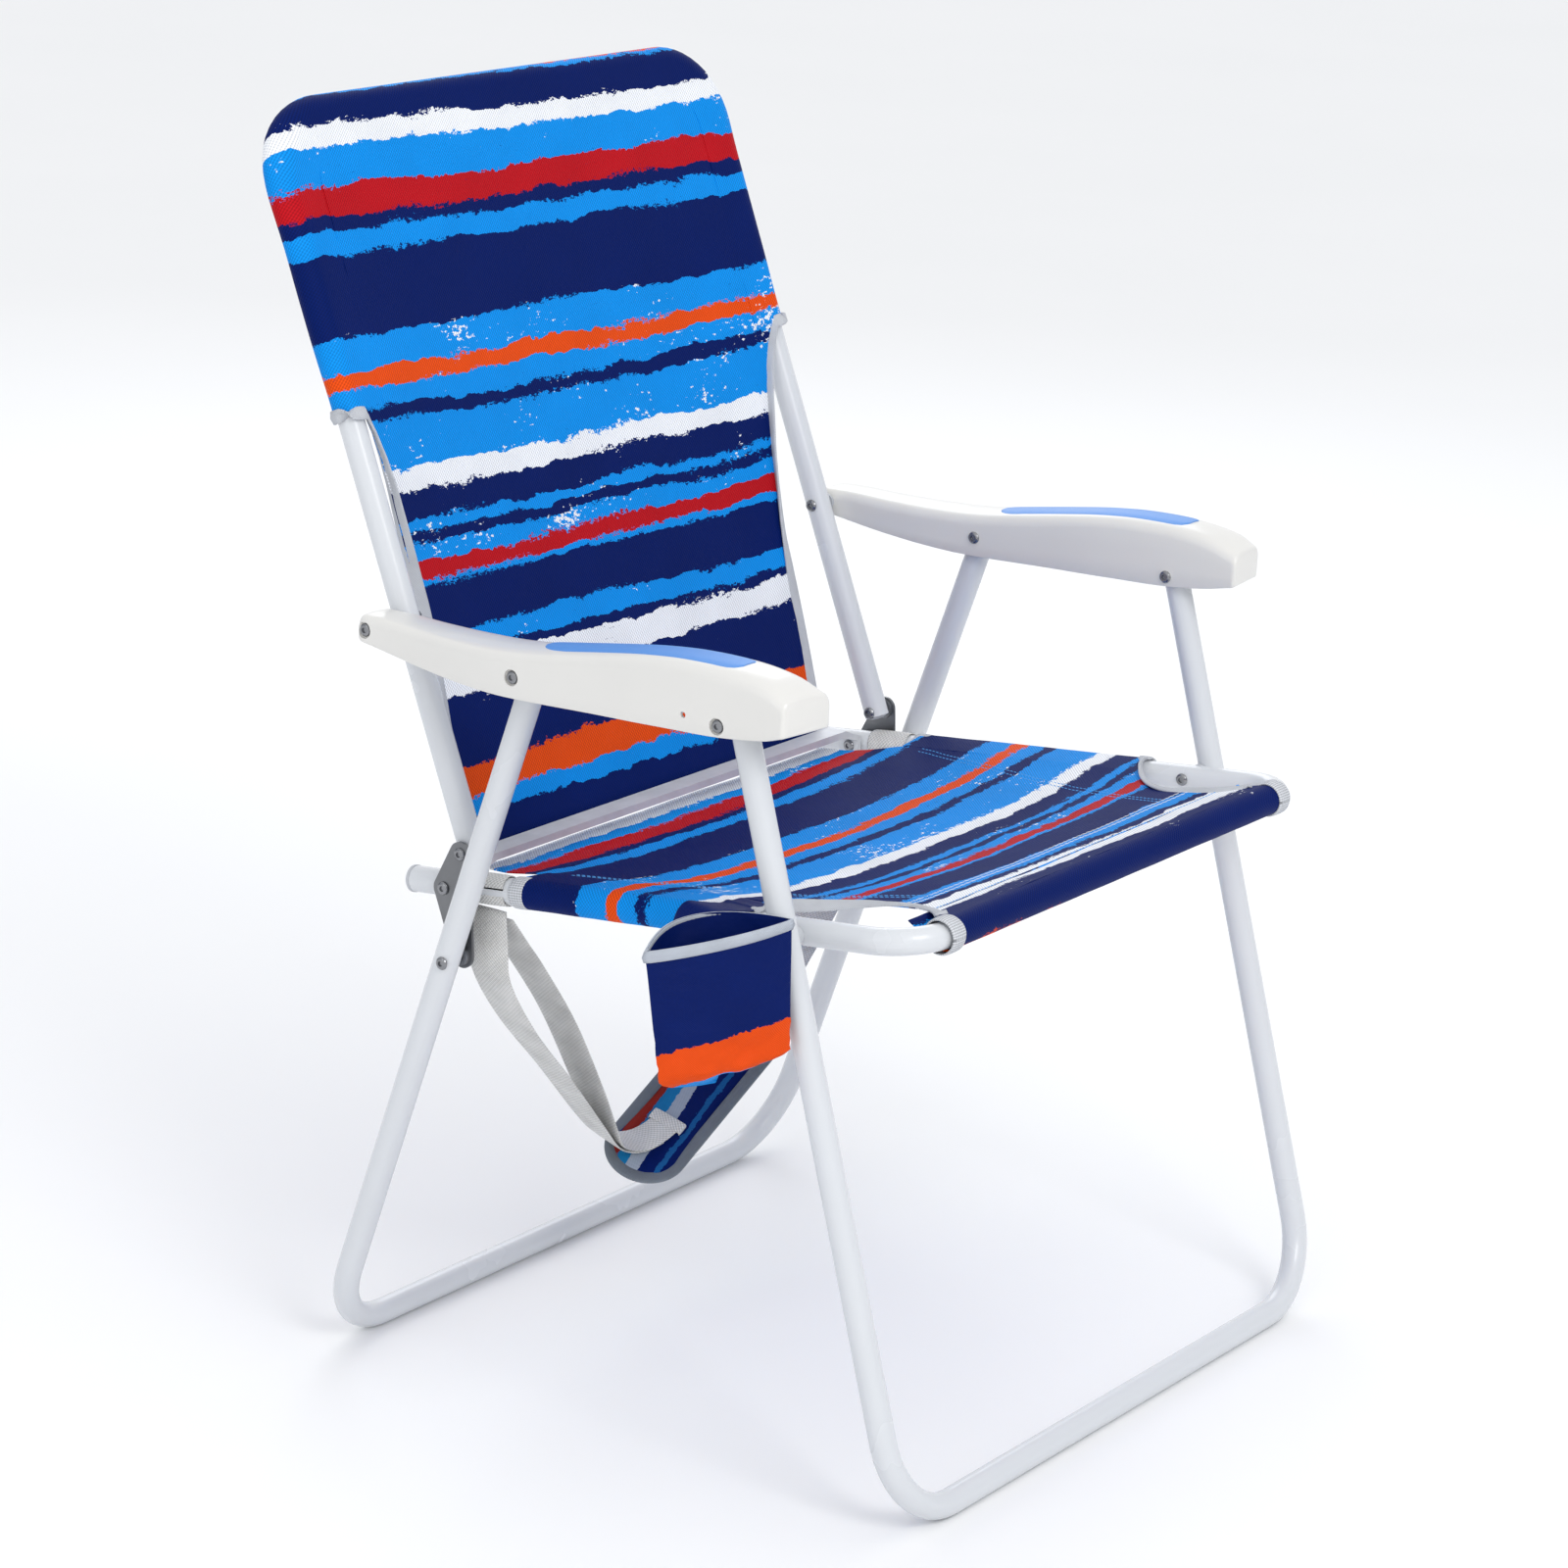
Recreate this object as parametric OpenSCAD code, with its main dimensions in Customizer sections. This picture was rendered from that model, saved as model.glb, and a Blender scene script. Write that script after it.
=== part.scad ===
// Folding beach chair with a tall sling back, channel armrests, a cup pouch and a carry strap.
// Sides are X, the sitter faces -Y, and the floor is Z = 0.

/* [Tubes] */
// Outer radius of every frame tube
tube_r = 10; // [8:0.5:12]
// Wall of every frame tube
tube_wall = 1.2; // [0.8:0.1:2]
// Half the distance between the two seat rails, which the back tubes share
rail_x = 267; // [240:1:300]
// Half the distance between the two legs of each leg frame
leg_x = 296; // [269:1:329]
// Bend radius of both floor corners, on the tube's centre line
leg_bend = 65; // [40:1:100]
// Bend radius of the seat's front corners
seat_bend = 40; // [30:1:60]
// Bend radius of the back's top corners
back_bend = 58; // [40:1:80]

/* [Side view] */
// Depth of the front floor bar in front of the chair's datum
front_bar_y = -272.7; // [-300:0.1:-240]
// Depth of the rear floor bar behind the chair's datum
rear_bar_y = 261.7; // [240:0.1:300]
// Length of the back tubes above the link plate's pivot
back_len = 562; // [450:1:620]
// Length of the seat rails in front of the link plate's pivot
seat_len = 414; // [400:1:440]
// Length of rail that stands out behind the link plate's pivot
rail_tail = 38; // [30:1:50]

/* [Armrests] */
// Outer face of the armrest at its front
arm_out = 327.7; // [325:0.1:332]
// Outer face of the armrest at its rear end
arm_out_rear = 316.5; // [314:0.1:320]
// Inner face of the armrest
arm_in = 279.4; // [279:0.1:282]
// Wall of the moulded channel
arm_wall = 3; // [2:0.1:3]
// Rise of the armrest's crowned top
arm_crown = 5; // [2:0.5:7]

/* [Rivets] */
// Radius of the rivet shank
shank_r = 3.2; // [2.5:0.05:4]
// Running clearance round a shank
run = 0.05; // [0.01:0.01:0.1]
// Radius of the rivet head
head_r = 5; // [4.5:0.1:5.5]
// Height of the rivet head
head_h = 2.2; // [1.6:0.1:2.2]

/* [Fabric] */
// Thickness of the sling cloth
cloth = 1.6; // [1.2:0.1:2]
// Clear gap between a tube and its sleeve
sleeve_gap = 0.4; // [0.3:0.1:0.6]
// Width of the carry strap
strap_w = 34; // [25:1:38]
// Width of the shoulder pad
pad_w = 58; // [50:1:70]
// Length of the shoulder pad
pad_len = 222; // [180:1:225]
// Thickness of the shoulder pad
pad_t = 9; // [6:1:12]
// Depth of the cup pouch
cup_depth = 100; // [80:1:110]

/* [Hidden] */
$fn = 48;

// Pivots in the side view, as [y, z]
ARM_BACK = [224.5, 585.5];
ARM_REAR_LEG = [78, 580];
ARM_FRONT_LEG = [-104, 580];
PLATE_BACK = [156.5, 420];
PLATE_SEAT = [171, 390.5];
PLATE_LEG = [151.5, 342];
SEAT_FRONT_LEG = [-145, 425];
FRONT_BAR = [front_bar_y, tube_r];
REAR_BAR = [rear_bar_y, tube_r];

function tilt(a, b) = atan2(b[1] - a[1], b[0] - a[0]);
front_tilt = tilt(FRONT_BAR, ARM_FRONT_LEG);
rear_tilt = tilt(REAR_BAR, ARM_REAR_LEG);
back_tilt = tilt(PLATE_BACK, ARM_BACK);
seat_tilt = tilt(SEAT_FRONT_LEG, PLATE_SEAT);
BACK_TOP = PLATE_BACK + back_len * [cos(back_tilt), sin(back_tilt)];

sleeve_in = tube_r + sleeve_gap;
sleeve_out = sleeve_in + cloth;
leg_in = leg_x - tube_r;
leg_out = leg_x + tube_r;
rail_in = rail_x - tube_r;
rail_out = rail_x + tube_r;
hole_r = shank_r + run;
free_gap = 0.3;

// The link plate stands between the rail and the leg
plate_in = rail_out + 2.5;
plate_t = 2.5;
plate_out = plate_in + plate_t;
plate_r = 9.5;

// How far a tube runs past a pivot near its end
leg_top = 7;
back_foot = 4.2;

// The cup pouch: its two corners on plan, and the controls of its rear curve
CUP_NEAR = [-310.5, -163];
CUP_FAR = [-400, -103];
CUP_KNEE = [-310.5, -110];
CUP_HEEL = [-330, -65];
CUP_LEAN = [-3, -14];
cup_front_bulge = 7;
cup_rim_z = 449;
cup_taper = 0.88;
cup_wall = 2;

// The whole chair is shifted so that its box stands centred on the origin
SHIFT = [
  -(arm_out + CUP_FAR[0]) / 2,
  -(front_bar_y - tube_r + BACK_TOP[0] + sleeve_out) / 2,
  0
];

module in_frame() translate(SHIFT) children();

// A plane through the side view: local Y runs along the given slope, local Z is its normal
module side_plane(at, slope) translate([0, at[0], at[1]]) rotate([slope, 0, 0]) children();

module on_both_sides() {
  children();
  mirror([1, 0, 0]) children();
}

module x_cylinder(x0, x1, r) translate([x0, 0, 0]) rotate([0, 90, 0]) cylinder(h = x1 - x0, r = r);

module y_cylinder(y0, y1, r) translate([0, y1, 0]) rotate([90, 0, 0]) cylinder(h = y1 - y0, r = r);

// A hole or pin on the X axis through a side-view point
module at_pivot(p) translate([0, p[0], p[1]]) children();

// U-shaped tube in its own plane: the bar lies on local X, the legs run up local Y
module u_tube(half_x, length, bend, r, open_by = 0) {
  x_cylinder(-(half_x - bend), half_x - bend, r);
  on_both_sides() {
    translate([half_x - bend, bend, 0]) rotate([0, 0, -90])
      rotate_extrude(angle = 90) translate([bend, 0]) circle(r = r);
    translate([half_x, 0, 0]) y_cylinder(bend, length + open_by, r);
  }
}

module hollow_u(half_x, length, bend) {
  difference() {
    u_tube(half_x, length, bend, tube_r);
    u_tube(half_x, length, bend, tube_r - tube_wall, 1);
  }
}

// A plastic plug in a tube's end: a low dome outside and a shank inside, along local Y
module tube_plug(dome_h) {
  rotate([-90, 0, 0]) rotate_extrude() polygon([
    [0, -9], [tube_r - tube_wall - 0.1, -9], [tube_r - tube_wall - 0.1, 0],
    [tube_r, 0], [tube_r, dome_h * 0.4], [tube_r - dome_h * 0.6, dome_h], [0, dome_h]
  ]);
}

// The back's feet end close under their pivot in a rounded plug, to swing clear of the rail
module foot_plug() {
  rotate([-90, 0, 0]) rotate_extrude() polygon([
    [0, -18], [tube_r - tube_wall - 0.1, -18], [tube_r - tube_wall - 0.1, 0],
    [tube_r - 0.6, 0], [tube_r - 2.2, 1], [tube_r - 5, 2.2], [0, 2.6]
  ]);
}

// Domed tubular head seated on the plane x = 0, pointing to +X, with the hollow of its eyelet
module rivet_head() {
  rotate([0, 90, 0]) difference() {
    rotate_extrude() polygon([
      [0, 0], [head_r, 0], [head_r, head_h * 0.3], [head_r * 0.88, head_h * 0.7],
      [head_r * 0.68, head_h], [0, head_h]
    ]);
    translate([0, 0, head_h * 0.4]) cylinder(h = head_h, r = head_r * 0.42);
  }
}

// Rivet on the +X side from face x0 to face x1, with a head at each end that asks for one
module rivet(x0, x1, inner_head = true, outer_head = true) {
  x_cylinder(x0, x1, shank_r);
  if (outer_head) translate([x1, 0, 0]) rivet_head();
  if (inner_head) translate([x0, 0, 0]) mirror([1, 0, 0]) rivet_head();
}

module washer(x0, x1, r) difference() {
  x_cylinder(x0, x1, r);
  x_cylinder(x0 - 1, x1 + 1, hole_r);
}

// ---- Rear leg frame ----

rear_len = norm(ARM_REAR_LEG - REAR_BAR) + leg_top;

module rear_leg_frame() color("whitesmoke") in_frame() difference() {
  side_plane(REAR_BAR, rear_tilt) hollow_u(leg_x, rear_len, leg_bend);
  for (p = [ARM_REAR_LEG, PLATE_LEG]) on_both_sides() at_pivot(p) x_cylinder(leg_in - 1, leg_out + 1, hole_r);
}

module rear_leg_plugs() color("gainsboro") in_frame() side_plane(REAR_BAR, rear_tilt) on_both_sides()
  translate([leg_x, rear_len, 0]) difference() {
    tube_plug(2);
    translate([-leg_x, -leg_top, 0]) x_cylinder(leg_in, leg_out, head_r);
  }

// This pivot is open in the model, so its rivet stops flush with the leg's inner side
module rear_leg_link_rivets() color("silver") in_frame() on_both_sides() at_pivot(PLATE_LEG)
  rivet(leg_in + free_gap, leg_out, inner_head = false);

// ---- Front leg frame ----

front_len = norm(ARM_FRONT_LEG - FRONT_BAR) + leg_top;

module front_leg_frame() color("whitesmoke") in_frame() difference() {
  side_plane(FRONT_BAR, front_tilt) hollow_u(leg_x, front_len, leg_bend);
  for (p = [ARM_FRONT_LEG, SEAT_FRONT_LEG])
    on_both_sides() at_pivot(p) x_cylinder(leg_in - 1, leg_out + 1, hole_r);
}

module front_leg_plugs() color("gainsboro") in_frame() side_plane(FRONT_BAR, front_tilt) on_both_sides()
  translate([leg_x, front_len, 0]) difference() {
    tube_plug(2);
    translate([-leg_x, -leg_top, 0]) x_cylinder(leg_in, leg_out, head_r);
  }

// ---- Armrests ----

// Stations along the armrest from its rear end to its front, as [y, z of the lower edge,
// z of the upper edge, share of the full crown]
ARM_STATIONS = [
  [233, 578, 593, 0.2], [230, 576, 595, 0.4], [206, 573, 595, 0.5], [170, 568.5, 593.5, 0.6],
  [135, 565.5, 593.5, 0.7], [100, 564, 594.5, 0.8], [68, 564.5, 597.5, 0.9], [36, 566, 602.5, 1],
  [4, 567.5, 608, 1], [-30, 568.5, 613.5, 1], [-62, 570, 617, 1], [-92, 571, 618, 1],
  [-116, 573, 617, 1], [-138, 576, 614, 1], [-154, 579, 610, 0.9], [-164, 581.5, 606, 0.7],
  [-167, 584, 602, 0.4]
];
INLAY_FIRST = 6;
INLAY_LAST = 12;
CAVITY_FIRST = 3;
CAVITY_LAST = 15;
edge_r = 4;

// The outer face swells from the narrow rear end to the full width over the rear third
function swell(y) = let (t = min(max((230 - y) / 150, 0), 1)) t * t * (3 - 2 * t);
function arm_outer(y) = arm_out_rear + (arm_out - arm_out_rear) * swell(y);

// Offsets across the top as [share of the width, share of the crown], inner edge first
ARM_ACROSS = [[0.3, 0.8], [0.5, 1], [0.72, 0.85]];

function arm_section(s) = let (xi = arm_in, xo = arm_outer(s[0]), w = xo - xi, c = arm_crown * s[3]) [
  [xi, s[0], s[1]], [xo, s[0], s[1]],
  [xo, s[0], s[2] - edge_r * 0.6], [xo - edge_r * 0.3, s[0], s[2]], [xo - edge_r, s[0], s[2] + c * 0.35],
  for (i = [2:-1:0]) [xi + w * ARM_ACROSS[i][0], s[0], s[2] + c * ARM_ACROSS[i][1]],
  [xi + edge_r, s[0], s[2] + c * 0.35], [xi + edge_r * 0.3, s[0], s[2]], [xi, s[0], s[2] - edge_r * 0.6]
];

function cavity_section(s) = let (xi = arm_in + arm_wall, xo = arm_outer(s[0]) - arm_wall) [
  [xi, s[0], s[1] - 5], [xo, s[0], s[1] - 5], [xo, s[0], s[2] - arm_wall - 3],
  [xo - 4, s[0], s[2] - arm_wall], [xi + 4, s[0], s[2] - arm_wall], [xi, s[0], s[2] - arm_wall - 3]
];

// Solid skin through a list of closed rings with the same number of points
module loft(rings) {
  n = len(rings[0]);
  m = len(rings);
  polyhedron(
    points = [for (r = rings) each r],
    faces = [
      [for (i = [0:n - 1]) i],
      for (k = [0:m - 2], i = [0:n - 1]) let (j = (i + 1) % n) each [
        [k * n + i, (k + 1) * n + i, (k + 1) * n + j],
        [k * n + i, (k + 1) * n + j, k * n + j]
      ],
      [for (i = [n - 1:-1:0]) (m - 1) * n + i]
    ]
  );
}

// Countersinks sink the outer heads below the armrest's outer face
module arm_pivot_cut(p, face_x) at_pivot(p) {
  x_cylinder(arm_in - 1, face_x + 1, hole_r);
  x_cylinder(face_x - head_h, face_x + 3, head_r + 1);
}

module armrest_shell() difference() {
  union() {
    difference() {
      loft([for (s = ARM_STATIONS) arm_section(s)]);
      loft([for (i = [CAVITY_FIRST:CAVITY_LAST]) cavity_section(ARM_STATIONS[i])]);
    }
    for (p = [ARM_REAR_LEG, ARM_FRONT_LEG]) at_pivot(p) {
      x_cylinder(leg_out + free_gap, arm_out - arm_wall / 2, 8);
      x_cylinder(arm_in + arm_wall / 2, leg_in - free_gap, 7);
    }
  }
  arm_pivot_cut(ARM_REAR_LEG, arm_outer(ARM_REAR_LEG[0]));
  arm_pivot_cut(ARM_FRONT_LEG, arm_out);
  arm_pivot_cut(ARM_BACK, arm_outer(ARM_BACK[0]));
  // Moulder's gauge hole beside the front pivot
  at_pivot(ARM_FRONT_LEG + [27, 4]) x_cylinder(arm_out - arm_wall - 1, arm_out + 1, 2);
}

module armrest_right() color("white") in_frame() mirror([1, 0, 0]) armrest_shell();

module armrest_left() color("white") in_frame() armrest_shell();

// Coloured inlay, on the crown between the two marks nearest its middle
inlay_t = 0.8;
function inlay_ring(s) = let (
  w = arm_outer(s[0]) - arm_in,
  c = arm_crown * s[3],
  low = [for (a = ARM_ACROSS) [arm_in + w * a[0], s[0], s[2] + c * a[1] + 0.05]]
) concat(low, [for (i = [2:-1:0]) low[i] + [0, 0, inlay_t]]);

module armrest_inlay() loft([for (i = [INLAY_LAST:-1:INLAY_FIRST]) inlay_ring(ARM_STATIONS[i])]);

module armrest_inlay_right() color("cornflowerblue") in_frame() mirror([1, 0, 0]) armrest_inlay();

module armrest_inlay_left() color("cornflowerblue") in_frame() armrest_inlay();

module arm_rear_leg_rivets() color("silver") in_frame() on_both_sides() at_pivot(ARM_REAR_LEG)
  rivet(arm_in, arm_outer(ARM_REAR_LEG[0]) - head_h);

module arm_front_leg_rivets() color("silver") in_frame() on_both_sides() at_pivot(ARM_FRONT_LEG)
  rivet(arm_in, arm_out - head_h);

module arm_back_rivets() color("silver") in_frame() on_both_sides() at_pivot(ARM_BACK)
  rivet(rail_in - free_gap, arm_outer(ARM_BACK[0]) - head_h);

module arm_back_washers() color("gainsboro") in_frame() on_both_sides() at_pivot(ARM_BACK)
  washer(rail_out + free_gap, arm_in, 7);

// ---- Back ----

module back_frame() color("whitesmoke") in_frame() difference() {
  side_plane(BACK_TOP, back_tilt + 180) hollow_u(rail_x, back_len + back_foot, back_bend);
  for (p = [ARM_BACK, PLATE_BACK]) on_both_sides() at_pivot(p) x_cylinder(rail_in - 1, rail_out + 1, hole_r);
}

module back_tube_plugs() color("gainsboro") in_frame()
  side_plane(BACK_TOP, back_tilt + 180) on_both_sides() translate([rail_x, back_len + back_foot, 0])
    difference() {
      foot_plug();
      translate([-rail_x, -back_foot, 0]) x_cylinder(rail_in, rail_out, head_r);
    }

// This pivot is open in the model, so its rivet stops flush with the tube's outer side
module back_link_rivets() color("silver") in_frame() on_both_sides() at_pivot(PLATE_BACK)
  rivet(rail_in, rail_out - free_gap, outer_head = false);

// Heights on the back, measured up the tubes from the link plate's pivot
sleeve_from = 340;
sleeve_top_x = rail_x - back_bend;
waist_from = 60;

// Half outline of the cloth panel from the waist up to the sleeves, as [x, height]
BACK_EDGE = [
  [222, waist_from], [227, 175], [238, 270], [250, 310], [rail_x - tube_r, sleeve_from],
  [rail_x - sleeve_in - 0.5, 500], [rail_x - sleeve_in - 4, 520], [228, 544], [209, back_len - sleeve_in - 0.5]
];

// The tail of the panel drops behind the crossbar, as [y, z]
BACK_TAIL = [[181.2, 480], [182, 466], [186, 450], [192, 428], [194, 412], [191, 405]];

function ribbon(path, t) = let (n = len(path)) concat(
  [for (i = [0:n - 1]) path[i] + t / 2 * side_of(path, i)],
  [for (i = [n - 1:-1:0]) path[i] - t / 2 * side_of(path, i)]
);
function side_of(path, i) = let (
  d = path[min(i + 1, len(path) - 1)] - path[max(i - 1, 0)]
) [-d[1], d[0]] / norm(d);

// A ribbon in the side view, drawn out across the chair between x0 and x1
module cross_ribbon(path, t, x0, x1) translate([x0, 0, 0]) rotate([90, 0, 90])
  linear_extrude(x1 - x0) polygon(ribbon(path, t));

module sleeve_ring(y0, y1) difference() {
  y_cylinder(y0, y1, sleeve_out);
  y_cylinder(y0 - 1, y1 + 1, sleeve_in);
}

module back_sling() color("royalblue") in_frame() {
  side_plane(PLATE_BACK, back_tilt) {
    translate([0, 0, -cloth / 2]) linear_extrude(cloth) polygon(concat(
      BACK_EDGE, [for (i = [len(BACK_EDGE) - 1:-1:0]) [-BACK_EDGE[i][0], BACK_EDGE[i][1]]]
    ));
    on_both_sides() translate([rail_x, 0, 0]) sleeve_ring(sleeve_from, back_len - back_bend);
    on_both_sides() translate([rail_x - back_bend, back_len - back_bend, 0])
      rotate_extrude(angle = 90) translate([back_bend, 0]) difference() {
        circle(r = sleeve_out);
        circle(r = sleeve_in);
      }
    translate([0, back_len, 0]) difference() {
      x_cylinder(-sleeve_top_x, sleeve_top_x, sleeve_out);
      x_cylinder(-sleeve_top_x - 1, sleeve_top_x + 1, sleeve_in);
    }
  }
  cross_ribbon(BACK_TAIL, cloth * 0.7, -220, 220);
}

// ---- Seat ----

SEAT_FRONT = PLATE_SEAT + seat_len * [-cos(seat_tilt), -sin(seat_tilt)];

module seat_frame() color("whitesmoke") in_frame() difference() {
  side_plane(SEAT_FRONT, seat_tilt) hollow_u(rail_x, seat_len + rail_tail, seat_bend);
  for (p = [PLATE_SEAT, SEAT_FRONT_LEG]) on_both_sides() at_pivot(p) x_cylinder(rail_in - 1, rail_out + 1, hole_r);
}

bar_tab_out = rail_in - 2;
bar_tab_in = bar_tab_out - 4;
bar_w = 18;

// Flat steel bar across the crease, cranked down to a riveted tab beside each rail
module seat_crossbar() color("lightgray") in_frame() difference() {
  translate([0, PLATE_SEAT[0] + bar_w / 2, PLATE_SEAT[1]]) rotate([90, 0, 0]) linear_extrude(bar_w)
    polygon([
      [-bar_tab_out, -8], [-bar_tab_out, 9], [-232, 18], [232, 18], [bar_tab_out, 9], [bar_tab_out, -8],
      [bar_tab_in, -8], [bar_tab_in, 6], [230, 12], [-230, 12], [-bar_tab_in, 6], [-bar_tab_in, -8]
    ]);
  on_both_sides() at_pivot(PLATE_SEAT) x_cylinder(bar_tab_in - 1, bar_tab_out + 1, hole_r);
}

module seat_rail_caps() color("gainsboro") in_frame()
  side_plane(SEAT_FRONT, seat_tilt) on_both_sides() translate([rail_x, seat_len + rail_tail, 0])
    rotate([-90, 0, 0]) rotate_extrude() polygon([
      [0, -12], [tube_r - tube_wall - 0.1, -12], [tube_r - tube_wall - 0.1, 0.05], [tube_r + 0.4, 0.05],
      [tube_r + 0.4, 2.4], [tube_r - 0.4, 3.2], [0, 3.2]
    ]);

module seat_link_rivets() color("silver") in_frame() on_both_sides() at_pivot(PLATE_SEAT)
  rivet(bar_tab_in, plate_out + free_gap);

module seat_link_washers() color("darkgray") in_frame() on_both_sides() at_pivot(PLATE_SEAT) {
  washer(bar_tab_out, rail_in, 7);
  washer(rail_out, plate_in - free_gap, 8);
}

module seat_front_leg_rivets() color("silver") in_frame() on_both_sides() at_pivot(SEAT_FRONT_LEG)
  rivet(rail_in, leg_out + free_gap);

module seat_front_leg_bushes() color("gainsboro") in_frame() on_both_sides() at_pivot(SEAT_FRONT_LEG)
  washer(rail_out, leg_in - free_gap, 7);

// Lengths along the seat, measured forward from the link plate's rail pivot
seat_sleeve_from = 64;
seat_sleeve_to = 279;
front_sleeve_x = 226;
seat_rear_edge = 8;

// Half outline of the seat cloth, as [x, distance forward], waisted round the front leg's pivot
SEAT_EDGE = [
  [222, seat_rear_edge], [240, 40], [rail_x - sleeve_in - 0.5, seat_sleeve_from],
  [rail_x - sleeve_in - 0.5, seat_sleeve_to], [238, 294], [214, 318], [202, 344], [202, 368], [215, 392],
  [front_sleeve_x, seat_len - sleeve_in - 0.5]
];

// The tail of the seat cloth turns under the crossbar, as [y, z]
SEAT_TAIL = [[159, 391.8], [168, 391], [177, 392.5], [186, 397]];

module seat_sling() color("royalblue") in_frame() {
  side_plane(PLATE_SEAT, seat_tilt) {
    translate([0, 0, -cloth / 2]) linear_extrude(cloth) polygon(concat(
      [for (e = SEAT_EDGE) [e[0], -e[1]]],
      [for (i = [len(SEAT_EDGE) - 1:-1:0]) [-SEAT_EDGE[i][0], -SEAT_EDGE[i][1]]]
    ));
    on_both_sides() translate([rail_x, 0, 0]) sleeve_ring(-seat_sleeve_to, -seat_sleeve_from);
    translate([0, -seat_len, 0]) difference() {
      x_cylinder(-(rail_x - seat_bend), rail_x - seat_bend, sleeve_out);
      x_cylinder(-rail_x, rail_x, sleeve_in);
    }
  }
  cross_ribbon(SEAT_TAIL, cloth * 0.7, -220, 220);
}

// ---- Cup pouch ----

function mix(a, b, t) = a + (b - a) * t;
function bezier(a, b, c, d, t) = let (u = 1 - t) u * u * u * a + 3 * u * u * t * b + 3 * u * t * t * c + t * t * t * d;
cup_turn = tilt(CUP_NEAR, CUP_FAR);
CUP_MID = (CUP_NEAR + CUP_FAR) / 2 + [12, 14];

// Plan outline: a slightly bulged front panel and a deeper curved rear panel
function cup_plan() = concat(
  [for (t = [0:1 / 8:1]) mix(CUP_NEAR, CUP_FAR, t) + cup_front_bulge * sin(180 * t) * [sin(cup_turn), -cos(cup_turn)] * -1],
  [for (t = [7 / 8:-1 / 8:1 / 8]) bezier(CUP_NEAR, CUP_KNEE, CUP_HEEL, CUP_FAR, t)]
);

// The rim slopes down towards the pouch's outer corner
function cup_top_z(p) = cup_rim_z + 0.146 * (p[0] - CUP_NEAR[0]) - 0.051 * (p[1] - CUP_NEAR[1]);

function cup_ring(depth, inset) = [
  for (p = cup_plan()) let (
    k = mix(1, cup_taper, depth / cup_depth),
    d = p - CUP_MID,
    q = CUP_MID + d * k * (1 - inset / norm(d)) + CUP_LEAN * depth / cup_depth
  ) [min(q[0], CUP_NEAR[0] - inset), q[1], cup_top_z(p) - depth]
];

module cup_holder() color("midnightblue") in_frame() {
  difference() {
    loft([cup_ring(0, 0), cup_ring(cup_depth * 0.5, 0), cup_ring(cup_depth, 0)]);
    loft([cup_ring(-1, cup_wall), cup_ring(cup_depth * 0.5, cup_wall), cup_ring(cup_depth - 2, cup_wall)]);
  }
  // Tab that hangs the pouch from the rail, over the side sleeve
  side_plane(PLATE_SEAT, seat_tilt) translate([-320, -288, sleeve_out + free_gap]) cube([58, 28, cloth]);
}

// ---- Carry strap and pad ----

strap_t = 1.4;
strap_y = 136;
strap_z = PLATE_SEAT[1] + (PLATE_SEAT[0] - strap_y) * tan(-seat_tilt);

// The pad lies along the strap, one end low and its front edge tipped down
PAD_AT = [-86, 115];
pad_rise = 26.5;
pad_tip = 20;

// Strap strands in the view along Y, as [x, z]
STRAND_UPPER = [[-262, 382.5], [-222, 333], [-180, 275], [-140, 211], [-112, 160], [-94, 133]];
STRAND_LOWER = [[-265, 382], [-261, 330], [-226, 278], [-177, 224], [-120, 163], [-88, 129]];
STRAND_FAR = [[113, 229], [160, 271], [208, 318], [262, 382.5]];

module y_ribbon(path, t, w) translate([0, strap_y + w / 2, 0]) rotate([90, 0, 0])
  linear_extrude(w) polygon(ribbon(path, t));

module on_pad() translate([PAD_AT[0], strap_y - 2, PAD_AT[1]]) rotate([0, -pad_rise, 0]) rotate([pad_tip, 0, 0])
  children();

module carry_strap() color("lightgray") in_frame() {
  y_ribbon(STRAND_UPPER, strap_t, strap_w);
  y_ribbon(STRAND_LOWER, strap_t, strap_w);
  y_ribbon(STRAND_FAR, strap_t, strap_w);
  on_pad() translate([-4, -strap_w / 2, pad_t + free_gap]) cube([pad_len + 8, strap_w, strap_t]);
  on_both_sides() translate([rail_x, strap_y, strap_z]) rotate([seat_tilt, 0, 0])
    difference() {
      y_cylinder(-strap_w / 2, strap_w / 2, sleeve_in + strap_t);
      y_cylinder(-strap_w, strap_w, sleeve_in);
      // The loop is pressed open on the side where the link plate swings past
      translate([tube_r, -strap_w, -strap_w]) cube(strap_w * 2);
    }
}

module shoulder_pad() color("slategray") in_frame() on_pad() linear_extrude(pad_t) {
  translate([pad_w / 2, -pad_w / 2]) square([pad_len - pad_w, pad_w]);
  for (x = [pad_w / 2, pad_len - pad_w / 2]) translate([x, 0]) circle(r = pad_w / 2);
}

module strap_keepers() color("silver") in_frame() on_pad() for (x = [62, 150])
  translate([x, -strap_w / 2 - 4, pad_t + free_gap + strap_t + free_gap]) cube([14, strap_w + 8, 1.2]);

// ---- Link plates ----

// Rounded bar between two side-view points
module plate_bar(a, b) translate([0, a[0], a[1]]) rotate([tilt(a, b), 0, 0])
  translate([plate_in, 0, -plate_r]) cube([plate_t, norm(b - a), plate_r * 2]);

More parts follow.
